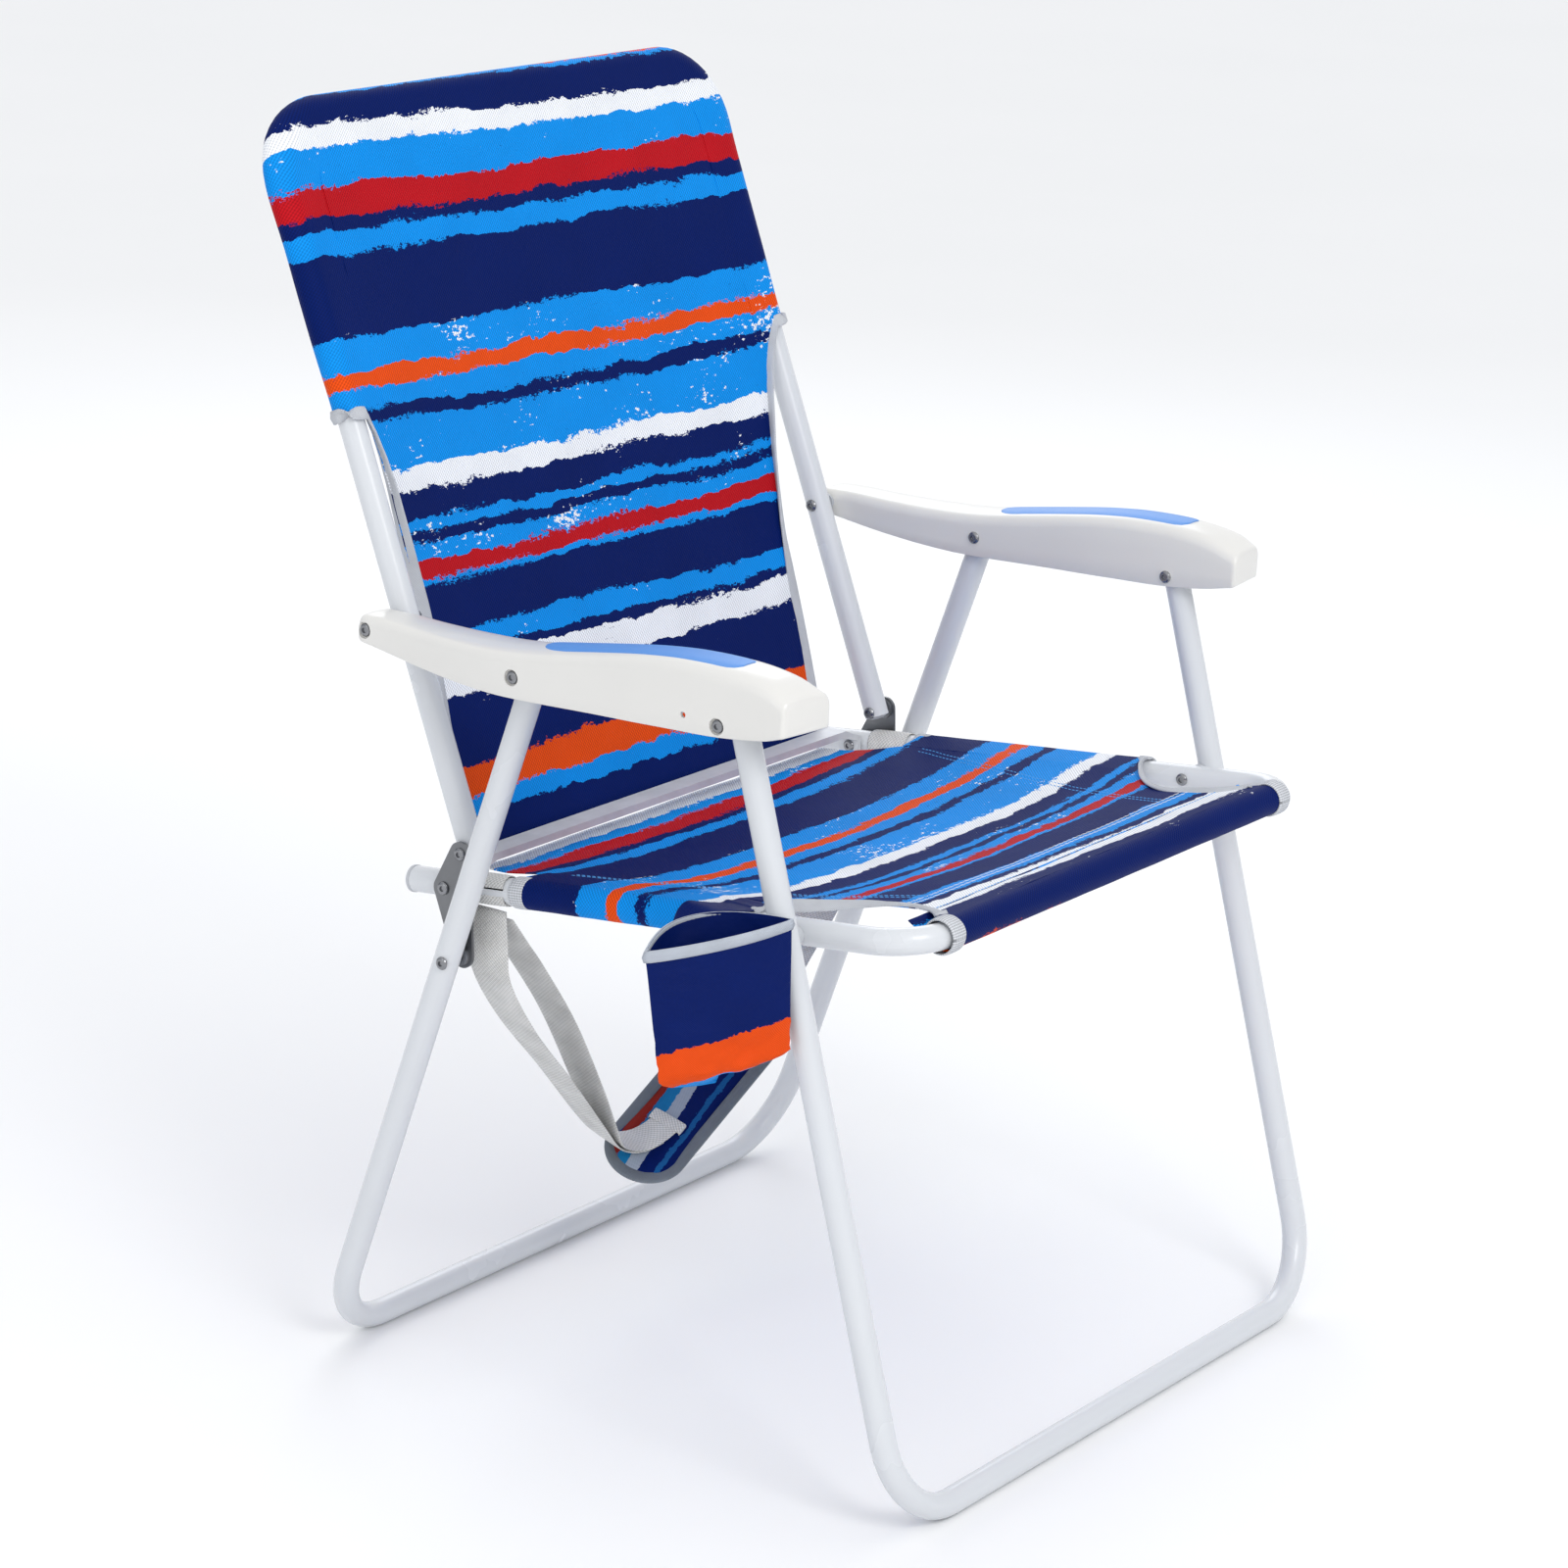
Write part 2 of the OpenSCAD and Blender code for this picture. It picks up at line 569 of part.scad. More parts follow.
module link_plate() difference() {
  union() {
    for (p = [PLATE_BACK, PLATE_SEAT, PLATE_LEG]) at_pivot(p) x_cylinder(plate_in, plate_out, plate_r);
    plate_bar(PLATE_BACK, PLATE_SEAT);
    plate_bar(PLATE_SEAT, PLATE_LEG);
    plate_bar(PLATE_LEG, PLATE_BACK);
    translate([plate_in, 0, 0]) rotate([90, 0, 90]) linear_extrude(plate_t)
      polygon([PLATE_BACK, PLATE_SEAT, PLATE_LEG]);
  }
  for (p = [PLATE_BACK, PLATE_SEAT, PLATE_LEG]) at_pivot(p) x_cylinder(plate_in - 1, plate_out + 1, hole_r);
}

module link_plate_right() color("dimgray") in_frame() mirror([1, 0, 0]) link_plate();

module link_plate_left() color("dimgray") in_frame() link_plate();

module plate_back_rivet_heads() color("silver") in_frame() on_both_sides() at_pivot(PLATE_BACK)
  rivet(plate_in, plate_out, inner_head = false);

module plate_back_washers() color("darkgray") in_frame() on_both_sides() at_pivot(PLATE_BACK)
  x_cylinder(rail_out + free_gap, plate_in, 8);

module plate_leg_rivet_heads() color("silver") in_frame() on_both_sides() at_pivot(PLATE_LEG)
  mirror([1, 0, 0]) translate([-plate_in - plate_out, 0, 0]) rivet(plate_in, plate_out, inner_head = false);

module plate_leg_spacers() color("darkgray") in_frame() on_both_sides() at_pivot(PLATE_LEG)
  x_cylinder(plate_out, leg_in - free_gap, 7);

rear_leg_frame();
rear_leg_plugs();
rear_leg_link_rivets();
front_leg_frame();
front_leg_plugs();
armrest_left();
armrest_right();
armrest_inlay_left();
armrest_inlay_right();
arm_rear_leg_rivets();
arm_front_leg_rivets();
arm_back_rivets();
arm_back_washers();
back_frame();
back_tube_plugs();
back_link_rivets();
back_sling();
seat_frame();
seat_crossbar();
seat_rail_caps();
seat_link_rivets();
seat_link_washers();
seat_front_leg_rivets();
seat_front_leg_bushes();
seat_sling();
cup_holder();
carry_strap();
shoulder_pad();
strap_keepers();
link_plate_left();
link_plate_right();
plate_back_rivet_heads();
plate_back_washers();
plate_leg_rivet_heads();
plate_leg_spacers();
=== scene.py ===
import math
from contextlib import contextmanager

import bmesh
import bpy
import numpy as np
from mathutils import Matrix, Vector, noise


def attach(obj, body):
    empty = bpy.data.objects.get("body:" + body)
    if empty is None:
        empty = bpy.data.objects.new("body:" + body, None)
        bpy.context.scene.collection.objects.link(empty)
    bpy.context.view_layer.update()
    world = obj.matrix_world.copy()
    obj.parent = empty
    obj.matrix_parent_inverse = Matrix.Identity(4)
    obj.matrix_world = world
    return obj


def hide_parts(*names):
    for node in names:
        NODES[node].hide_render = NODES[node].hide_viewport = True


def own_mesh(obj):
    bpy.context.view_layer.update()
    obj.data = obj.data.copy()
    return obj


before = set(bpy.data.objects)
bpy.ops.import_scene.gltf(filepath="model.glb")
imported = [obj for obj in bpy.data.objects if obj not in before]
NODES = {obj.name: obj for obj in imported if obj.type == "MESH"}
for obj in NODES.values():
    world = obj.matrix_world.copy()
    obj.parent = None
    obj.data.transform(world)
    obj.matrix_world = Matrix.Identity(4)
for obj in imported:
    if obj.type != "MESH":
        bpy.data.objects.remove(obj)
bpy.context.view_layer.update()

# ---- the chair's own frame, in mm

SHIFT = (36.15, -49.693, 0.0)
# Pivots, as (y, z)
PLATE_BACK = (156.5, 420.0)
PLATE_SEAT = (171.0, 390.5)
ARM_BACK = (224.5, 585.5)
ARM_REAR = (78.0, 580.0)
ARM_FRONT = (-104.0, 580.0)
# Tubes: half the spacing of their axes, lengths from the link plate, and directions, as (y, z)
RAIL_X = 267.0
BACK_LEN = 562.0
SEAT_LEN = 414.0
TUBE_R = 10.0
BACK_DIR = (0.38007, 0.92496)
SEAT_DIR = (-0.99410, 0.10850)
SIDES = ((1, "left"), (-1, "right"))


def P(x, y, z):
    """A point of the chair's own frame, in the shared frame and in metres."""
    return Vector(((x + SHIFT[0]) / 1000, (y + SHIFT[1]) / 1000, (z + SHIFT[2]) / 1000))


def on_back(x, s, n):
    """x across, s up the back tubes from the link plate, n towards the sitter."""
    (y, z), (dy, dz) = PLATE_BACK, BACK_DIR
    return x, y + dy * s - dz * n, z + dz * s + dy * n


def on_seat(x, s, n):
    """x across, s forward along the rails from the link plate, n up."""
    (y, z), (dy, dz) = PLATE_SEAT, SEAT_DIR
    return x, y + dy * s + dz * n, z + dz * s - dy * n


def lerp(table, v, column=1):
    """The table's column at v, straight between its rows."""
    return float(np.interp(v, [t[0] for t in table], [t[column] for t in table]))


def smooth(t):
    t = min(max(t, 0.0), 1.0)
    return t * t * (3 - 2 * t)


def wobble(x, y, z, scale):
    return noise.noise(Vector((x / scale, y / scale, z / scale)))


def turn(degrees, radius=1.0):
    a = math.radians(degrees)
    return radius * math.cos(a), radius * math.sin(a)


def apart(a, b):
    return np.array(a) - np.array(b)


def spline(points, count):
    """A smooth curve through the points, as many points as asked, evenly spread along it."""
    pts = [np.array(p, float) for p in points]
    pts = [2 * pts[0] - pts[1]] + pts + [2 * pts[-1] - pts[-2]]
    fine = []
    for i in range(1, len(pts) - 2):
        p0, p1, p2, p3 = pts[i - 1 : i + 3]
        square = 2 * p0 - 5 * p1 + 4 * p2 - p3
        cube = 3 * p1 - p0 - 3 * p2 + p3
        for k in range(24):
            t = k / 24
            fine.append(0.5 * (2 * p1 + (p2 - p0) * t + square * t * t + cube * t**3))
    fine.append(pts[-2])
    fine = np.array(fine)
    run = np.concatenate([[0], np.cumsum(np.linalg.norm(np.diff(fine, axis=0), axis=1))])
    at = np.linspace(0, run[-1], count)
    return np.stack([np.interp(at, run, fine[:, k]) for k in range(fine.shape[1])], 1)


# ---- mesh helpers


def add_object(name, data):
    obj = bpy.data.objects.new(name, data)
    bpy.context.scene.collection.objects.link(obj)
    return obj


def discard(obj):
    data = obj.data
    bpy.data.objects.remove(obj)
    bpy.data.meshes.remove(data)


def smooth_faces(obj):
    obj.data.polygons.foreach_set("use_smooth", [True] * len(obj.data.polygons))


@contextmanager
def editing(obj):
    bm = bmesh.new()
    bm.from_mesh(obj.data)
    yield bm
    bm.to_mesh(obj.data)
    bm.free()


def make_mesh(name, verts, faces, uvs=None, material=None):
    mesh = bpy.data.meshes.new(name)
    mesh.from_pydata([P(*v) for v in verts], [], faces)
    if uvs is not None:
        layer = mesh.uv_layers.new(name="UVMap")
        for loop in mesh.loops:
            u = uvs[loop.vertex_index]
            layer.data[loop.index].uv = (u[0] / 1000, u[1] / 1000)
    obj = add_object(name, mesh)
    smooth_faces(obj)
    if material:
        mesh.materials.append(material)
    mesh.update()
    return obj


def fix_normals(obj):
    with editing(obj) as bm:
        bmesh.ops.remove_doubles(bm, verts=bm.verts, dist=1e-6)
        bmesh.ops.recalc_face_normals(bm, faces=bm.faces)


def soften(obj, angle=38):
    """Smooth shading, with edges sharper than the angle left crisp."""
    smooth_faces(obj)
    with editing(obj) as bm:
        for e in bm.edges:
            e.smooth = not (len(e.link_faces) == 2 and e.calc_face_angle(0) > math.radians(angle))


def modify(obj, kind, **values):
    """Adds a modifier with these values and applies it."""
    mod = obj.modifiers.new("change", kind)
    for key, value in values.items():
        setattr(mod, key, value)
    bpy.context.view_layer.update()
    depsgraph = bpy.context.evaluated_depsgraph_get()
    mesh = bpy.data.meshes.new_from_object(obj.evaluated_get(depsgraph))
    obj.modifiers.clear()
    old = obj.data
    obj.data = mesh
    bpy.data.meshes.remove(old)


def thicken(obj, thickness, offset=0.0):
    modify(obj, "SOLIDIFY", thickness=thickness / 1000, offset=offset, use_quality_normals=True)
    soften(obj, 50)


def join(name, objs):
    """Joins mesh objects into a new one, keeping their uvs and materials."""
    bm = bmesh.new()
    materials = list(dict.fromkeys(m for o in objs for m in o.data.materials))
    for o in objs:
        start = len(bm.faces)
        bm.from_mesh(o.data)
        bm.faces.ensure_lookup_table()
        table = [materials.index(m) for m in o.data.materials]
        for f in bm.faces[start:]:
            f.material_index = table[f.material_index] if table else 0
    mesh = bpy.data.meshes.new(name)
    bm.to_mesh(mesh)
    bm.free()
    for m in materials:
        mesh.materials.append(m)
    for o in objs:
        discard(o)
    return add_object(name, mesh)


def grid_mesh(name, rows, uv_rows, material, close_rows=False):
    """Quads through a grid of points; close_rows joins the last column to the first."""
    n = len(rows[0])
    faces = []
    for i in range(len(rows) - 1):
        for j in range(n if close_rows else n - 1):
            k = (j + 1) % n
            faces.append((i * n + j, i * n + k, (i + 1) * n + k, (i + 1) * n + j))
    return make_mesh(name, sum(rows, []), faces, sum(uv_rows, []), material)


LENS = [(0.5, 0.0), (0.47, -0.34), (0.3, -0.5), (0.0, -0.5), (-0.3, -0.5), (-0.47, -0.34)]


def ribbon(name, path, normals, width, thick, material, closed=False, crown=0.35):
    """A flat band that follows path; normals point out of its face. Its section is a rounded lens."""
    path = [np.array(p, float) for p in path]
    normals = [np.array(p, float) / np.linalg.norm(p) for p in normals]
    section = [(-a, -b) for a, b in LENS] + LENS
    section[3] = (0.0, 0.5 + crown)
    count = len(path)
    rows, uv_rows, run = [], [], 0.0
    for i in range(count):
        a = path[(i - 1) % count] if closed else path[max(i - 1, 0)]
        b = path[(i + 1) % count] if closed else path[min(i + 1, count - 1)]
        t = (b - a) / np.linalg.norm(b - a)
        side = np.cross(normals[i], t)
        side /= np.linalg.norm(side)
        up = np.cross(t, side)
        if i:
            run += float(np.linalg.norm(path[i] - path[i - 1]))
        w = width[i] if hasattr(width, "__len__") else width
        rows.append([path[i] + side * (w * c[0]) + up * (thick * c[1]) for c in section])
        uv_rows.append([(run, w * c[0]) for c in section])
    if closed:
        rows.append(rows[0])
        uv_rows.append([(run + 5, c[1]) for c in uv_rows[0]])
    obj = grid_mesh(name, rows, uv_rows, material, close_rows=True)
    if not closed:
        n = len(section)
        with editing(obj) as bm:
            bm.verts.ensure_lookup_table()
            bm.faces.new([bm.verts[k] for k in range(n - 1, -1, -1)])
            bm.faces.new([bm.verts[(count - 1) * n + k] for k in range(n)])
    fix_normals(obj)
    smooth_faces(obj)
    return obj


# ---- material helpers


class Nodes:
    """A material's node tree, with a short name for each kind of node that the looks are made of."""

    def __init__(self, name):
        self.mat = bpy.data.materials.new(name)
        self.mat.use_nodes = True
        self.tree = self.mat.node_tree
        self.bsdf = self.tree.nodes["Principled BSDF"]

    def new(self, kind, **values):
        """A node, with its properties and its constant inputs set by name."""
        node = self.tree.nodes.new(kind)
        for key, value in values.items():
            if hasattr(node, key):
                setattr(node, key, value)
            else:
                node.inputs[key].default_value = value
        return node

    def put(self, socket, value):
        """Gives a socket another node's output, or a constant."""
        if isinstance(value, bpy.types.NodeSocket):
            self.tree.links.new(value, socket)
        elif socket.type == "RGBA":
            socket.default_value = (*value, 1.0)
        else:
            socket.default_value = value

    def math(self, op, *values):
        node = self.new("ShaderNodeMath", operation=op)
        for socket, value in zip(node.inputs, values):
            self.put(socket, value)
        return node.outputs[0]

    def add(self, a, b):
        return self.math("ADD", a, b)

    def sub(self, a, b):
        return self.math("SUBTRACT", a, b)

    def mul(self, a, b):
        return self.math("MULTIPLY", a, b)

    def above(self, a, limit):
        return self.math("GREATER_THAN", a, limit)

    def uv(self):
        node = self.new("ShaderNodeUVMap", uv_map="UVMap")
        split = self.new("ShaderNodeSeparateXYZ")
        self.put(split.inputs[0], node.outputs[0])
        return node.outputs[0], split.outputs[0], split.outputs[1]

    def object_coord(self):
        return self.new("ShaderNodeTexCoord").outputs["Object"]

    def vector(self, op, vector, other):
        node = self.new("ShaderNodeVectorMath", operation=op)
        self.put(node.inputs[0], vector)
        self.put(node.inputs[1], other)
        return node.outputs[0]

    def noise(self, vector, scale, detail=2.0, rough=0.5):
        node = self.new("ShaderNodeTexNoise", Scale=scale, Detail=detail, Roughness=rough)
        self.put(node.inputs["Vector"], vector)
        return node.outputs[0]

    def grain(self, vector, scales, detail=2.0, rough=0.5):
        """Noise that has its own scale along each direction."""
        return self.noise(self.vector("MULTIPLY", vector, scales), 1.0, detail, rough)

    def mix(self, factor, a, b, mode="MIX"):
        node = self.new("ShaderNodeMix", data_type="RGBA", blend_type=mode)
        for k, value in ((0, factor), (6, a), (7, b)):
            self.put(node.inputs[k], value)
        return node.outputs[2]

    def shade(self, colour, amount):
        """The colour times a grey amount."""
        grey = self.new("ShaderNodeCombineColor")
        for socket in grey.inputs:
            self.put(socket, amount)
        return self.mix(1.0, colour, grey.outputs[0], "MULTIPLY")

    def ramp(self, value, stops, constant=False):
        node = self.new("ShaderNodeValToRGB")
        if constant:
            node.color_ramp.interpolation = "CONSTANT"
        elements = node.color_ramp.elements
        while len(elements) < len(stops):
            elements.new(0.5)
        for e, (position, _) in zip(elements, stops):
            e.position = position
        for e, (_, colour) in zip(elements, stops):
            e.color = (*colour, 1.0)
        self.put(node.inputs[0], value)
        return node.outputs[0]

    def bump(self, height, strength, distance, below=None):
        node = self.new("ShaderNodeBump", Strength=strength, Distance=distance)
        self.put(node.inputs["Height"], height)
        if below is not None:
            self.put(node.inputs["Normal"], below)
        return node.outputs[0]

    def finish(self, colour, rough, normal=None, specular=0.5, **values):
        """The material, with its colour, roughness and bump, and constants for the rest."""
        self.put(self.bsdf.inputs["Base Color"], colour)
        self.put(self.bsdf.inputs["Roughness"], rough)
        if normal is not None:
            self.put(self.bsdf.inputs["Normal"], normal)
        self.bsdf.inputs["Specular IOR Level"].default_value = specular
        for key, value in values.items():
            self.bsdf.inputs[key.replace("_", " ").title()].default_value = value
        return self.mat


NAVY = (0.0002, 0.0090, 0.100)
SKY = (0.003, 0.245, 0.72)
RED = (0.44, 0.006, 0.012)
ORANGE = (0.70, 0.068, 0.006)
WHITE = (0.78, 0.80, 0.84)


def weave(m, u, v, period):
    """Fine diagonal twill as a 0..1 height, from two cloth coordinates in metres."""
    k = 2 * math.pi / (period / 1000)
    ridge = m.math("SINE", m.add(m.mul(u, k), m.mul(v, k)))
    thread = m.math("SINE", m.mul(m.sub(u, v), k * 0.9))
    return m.add(m.add(m.mul(ridge, 0.34), m.mul(thread, 0.16)), 0.5)


# The print, as (colour, where it starts) in mm down the cloth
PRINT = [
    (ORANGE, -60), (SKY, -7), (NAVY, 0), (WHITE, 26), (SKY, 42), (RED, 72), (NAVY, 94), (SKY, 106),
    (NAVY, 122), (SKY, 182), (ORANGE, 210), (SKY, 222), (NAVY, 240), (SKY, 250), (WHITE, 290),
    (NAVY, 305), (SKY, 328), (NAVY, 336), (SKY, 343), (RED, 356), (SKY, 372), (NAVY, 376), (SKY, 414),
    (NAVY, 432), (WHITE, 440), (NAVY, 460), (ORANGE, 512), (SKY, 537), (NAVY, 551), (SKY, 578),
]
PRINT_FROM, PRINT_SPAN = -60.0, 700.0
# Where the cloth has white specks and dry-brush splashes, as (start, how many)
SPECKS = [
    (PRINT_FROM, 0.0), (42, 0.3), (70, 0.0), (180, 0.62), (209, 0.1), (224, 0.75), (239, 0.2),
    (251, 0.8), (290, 0.0), (305, 0.15), (328, 0.5), (343, 1.0), (355, 0.0), (414, 0.2), (430, 0.0),
    (460, 0.12), (478, 0.0),
]


def print_material(name, seed, table):
    """Brushed stripes across the cloth, with ragged edges, specks and splashes."""
    m = Nodes(name)
    vec, u, v = m.uv()
    base = m.vector("ADD", vec, (seed, seed * 0.7, 0))
    drift = m.sub(m.grain(base, (5, 9, 1), 1.0), 0.5)
    stroke = m.sub(m.grain(base, (34, 60, 1), 4.0, 0.6), 0.5)
    jag = m.sub(m.grain(base, (190, 330, 1), 4.0, 0.75), 0.5)
    moved = m.add(v, m.mul(drift, 0.016))
    moved = m.add(moved, m.mul(stroke, 0.016))
    ragged = m.math("MAXIMUM", m.sub(m.grain(base, (9, 26, 1)), 0.42), 0.0)
    moved = m.add(moved, m.mul(jag, m.add(m.mul(ragged, 0.11), 0.002)))
    moved = m.sub(moved, m.mul(u, 0.014))
    place = m.math("DIVIDE", m.sub(moved, PRINT_FROM / 1000), PRINT_SPAN / 1000)
    stops = [((w - PRINT_FROM) / PRINT_SPAN, colour) for colour, w in table]
    colour = m.ramp(place, stops, constant=True)
    stops = [((w - PRINT_FROM) / PRINT_SPAN, (a, a, a)) for w, a in SPECKS]
    amount = m.ramp(place, stops, constant=True)
    patches = m.sub(m.grain(base, (13, 19, 1)), 0.5)
    specks = m.grain(base, (150, 250, 1), 5.0, 0.62)
    level = m.add(m.add(specks, m.mul(patches, 0.9)), m.mul(amount, 0.11))
    speck = m.mul(m.above(level, 0.775), m.above(amount, 0.05))
    colour = m.mix(speck, colour, WHITE)
    # Navy flecks where a light band meets a dark one
    flecks = m.grain(base, (120, 520, 1), 3.0, 0.7)
    fleck = m.above(m.add(flecks, m.mul(patches, -0.4)), 0.74)
    colour = m.mix(m.mul(fleck, 0.85), colour, NAVY)
    height = weave(m, u, v, 2.8)
    cloudy = m.add(m.mul(m.grain(base, (18, 18, 1), 3.0), 0.24), 0.88)
    colour = m.shade(colour, m.mul(m.add(m.mul(height, 0.62), 0.71), cloudy))
    return m.finish(colour, 0.6, m.bump(height, 0.5, 0.0004), specular=0.07)


def fabric(name, colour, period, rough, strength, speckle):
    """Plain woven cloth with the twill, and a slow change of tone."""
    m = Nodes(name)
    vec, u, v = m.uv()
    height = weave(m, u, v, period)
    tone = m.grain(vec, (40, 40, 1), 3.0)
    k = m.mul(m.add(m.mul(height, speckle * 2), 1 - speckle), m.add(m.mul(tone, speckle * 2), 1 - speckle))
    return m.finish(
        m.shade(colour, k), rough, m.bump(height, strength, 0.0005), 0.2,
        sheen_weight=0.03, sheen_roughness=0.5,
    )


def knit(name, colour):
    """Ribbed elastic knit: ridges across uv x, a finer stitch along uv y."""
    m = Nodes(name)
    vec, u, v = m.uv()
    k = 2 * math.pi / 0.0024
    rib = m.math("SINE", m.mul(v, k))
    stitch = m.math("SINE", m.mul(u, k * 1.3))
    height = m.add(m.add(m.mul(rib, 0.16), m.mul(stitch, 0.34)), 0.5)
    tone = m.grain(vec, (90, 90, 1))
    amount = m.mul(m.add(m.mul(height, 0.55), 0.56), m.add(m.mul(tone, 0.2), 0.9))
    return m.finish(m.shade(colour, amount), 0.85, m.bump(height, 0.9, 0.0007), 0.25)


def coated(name, colour, rough, mottle, grain, peel, coat=0.0):
    """Paint or moulded plastic: a slow mottle of tone, gloss that varies, and a fine surface grain."""
    m = Nodes(name)
    at = m.object_coord()
    slow = m.noise(at, 14.0, 3.0)
    fine = m.noise(at, grain, 3.0, 0.6)
    mixed = m.shade(colour, m.add(m.mul(slow, mottle * 2), 1 - mottle))
    gloss = m.add(m.mul(m.sub(slow, 0.5), 0.12), rough)
    return m.finish(mixed, gloss, m.bump(fine, peel, 0.0004), coat_weight=coat, coat_roughness=0.12)


def metal(name, colour, rough, scratch, grain=(240, 18, 240), metallic=1.0):
    """Steel or metallic paint: fine drawn lines in its gloss and surface, and a slow change of tone."""
    m = Nodes(name)
    at = m.object_coord()
    drawn = m.grain(at, grain, 4.0, 0.65)
    mixed = m.shade(colour, m.add(m.mul(m.noise(at, 60.0, 3.0), 0.3), 0.85))
    gloss = m.add(m.mul(drawn, 0.22), rough)
    return m.finish(mixed, gloss, m.bump(drawn, scratch, 0.0003), metallic=metallic)


paint = coated("frame_paint", (0.64, 0.66, 0.69), 0.26, 0.02, 420.0, 0.07, coat=0.15)
arm_white = coated("arm_plastic", (0.71, 0.70, 0.675), 0.3, 0.03, 380.0, 0.08, coat=0.25)
inlay_blue = coated("inlay_plastic", (0.085, 0.27, 0.68), 0.45, 0.05, 900.0, 0.35)
plug_white = coated("plug_plastic", (0.50, 0.52, 0.55), 0.42, 0.04, 700.0, 0.2)
bar_silver = metal("bar_paint", (0.60, 0.62, 0.65), 0.36, 0.12, (18, 300, 300), 0.2)
plate_zinc = metal("plate_steel", (0.20, 0.205, 0.215), 0.22, 0.35)
washer_zinc = metal("washer_steel", (0.32, 0.33, 0.35), 0.3, 0.3)
rivet_chrome = metal("rivet_steel", (0.27, 0.275, 0.29), 0.14, 0.12)
back_print = print_material("sling_print_back", 0.0, PRINT)
# The seat's piece was cut where the white runs a little further
seat_print = print_material("sling_print_seat", 3.7, [(c, 59 if w == 42 else w) for c, w in PRINT])
bias_white = fabric("binding_white", (0.58, 0.60, 0.64), 1.3, 0.85, 0.9, 0.16)
bias_grey = fabric("binding_grey", (0.17, 0.195, 0.23), 1.3, 0.85, 0.9, 0.18)
rim_grey = fabric("rim_grey", (0.50, 0.54, 0.61), 1.2, 0.85, 0.9, 0.18)
webbing = fabric("webbing", (0.62, 0.62, 0.61), 3.0, 0.8, 0.9, 0.26)
knit_white = knit("knit_white", (0.66, 0.68, 0.72))
thread_blue = fabric("thread_blue", (0.10, 0.36, 0.78), 0.9, 0.7, 0.5, 0.2)
thread_white = fabric("thread_white", (0.7, 0.74, 0.8), 0.9, 0.7, 0.5, 0.2)

FINISH = (
    (paint, "rear_leg_frame front_leg_frame back_frame seat_frame"),
    (plug_white, "rear_leg_plugs front_leg_plugs back_tube_plugs seat_rail_caps"),
    (plug_white, "arm_back_washers seat_front_leg_bushes"),
    (plate_zinc, "link_plate_left link_plate_right"),
    (bar_silver, "seat_crossbar"),
    (washer_zinc, "seat_link_washers plate_back_washers plate_leg_spacers"),
    (rivet_chrome, "rear_leg_link_rivets arm_rear_leg_rivets arm_front_leg_rivets arm_back_rivets"),
    (rivet_chrome, "back_link_rivets seat_link_rivets seat_front_leg_rivets"),
    (rivet_chrome, "plate_back_rivet_heads plate_leg_rivet_heads"),
)
for material, names in FINISH:
    for node_name in names.split():
        NODES[node_name].data.materials.clear()
        NODES[node_name].data.materials.append(material)


def piece(obj, body, slot, *nodes):
    """Puts a visual piece on its body, in place of the CAD nodes that it stands for, which it hides. The slot
    argument is not used.
    """
    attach(obj, body)
    if nodes:
        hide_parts(*nodes)
    return obj


# ---- slings

# A sleeve is a loop round the tube, sewn SEAM_D inwards from its axis and SEAM_N above it
SLEEVE_R = 11.3
SEAM_D = 30.0
SEAM_N = 8.3
SEAM_X = RAIL_X - SEAM_D
REACH = math.hypot(SEAM_D, SEAM_N)
HALF = math.acos(SLEEVE_R / REACH)
LEAN = math.atan2(SEAM_N, SEAM_D)
FACE_A = LEAN + HALF
REAR_A = 2 * math.pi + LEAN - HALF
FACE_D, FACE_N = SLEEVE_R * math.cos(FACE_A), SLEEVE_R * math.sin(FACE_A)
REAR_D, REAR_N = SLEEVE_R * math.cos(REAR_A), SLEEVE_R * math.sin(REAR_A)
STRAIGHT = math.hypot(SEAM_D - FACE_D, SEAM_N - FACE_N)


def sleeve_lift(d):
    """Height of the sleeve's face above the tube's own plane, d mm inwards from the tube's axis."""
    if d >= SEAM_D:
        return SEAM_N
    if d >= FACE_D:
        return SEAM_N + (FACE_N - SEAM_N) * (SEAM_D - d) / (SEAM_D - FACE_D)
    return math.sqrt(max(SLEEVE_R**2 - d * d, 0.0))


def sleeve_profile(steps=16, straight=3, skip_face=False):
    """Points round the tube as (inward, up, run of cloth from the seam), face first, back last."""
    out = []
    if not skip_face:
        for i in range(straight):
            t = i / straight
            out.append((SEAM_D + (FACE_D - SEAM_D) * t, SEAM_N + (FACE_N - SEAM_N) * t, STRAIGHT * t))
    for i in range(steps + 1):
        a = FACE_A + (REAR_A - FACE_A) * i / steps
        out.append((SLEEVE_R * math.cos(a), SLEEVE_R * math.sin(a), STRAIGHT + SLEEVE_R * (a - FACE_A)))
    for i in range(1, straight + 1):
        t = i / straight
        out.append((
            REAR_D + (SEAM_D - REAR_D) * t, REAR_N + (SEAM_N - 0.9 - REAR_N) * t,
            STRAIGHT + SLEEVE_R * (REAR_A - FACE_A) + STRAIGHT * t,
        ))
    return out


BACK_TOP_SEAM = BACK_LEN - SEAM_D
BEND_R = 58.0
SEAM_BEND_R = BEND_R - SEAM_D
BACK_BEND_S = BACK_LEN - BEND_R
BACK_BEND_X = RAIL_X - BEND_R
BACK_LOW_S = -12.0
SLEEVE_END_S = 334.0
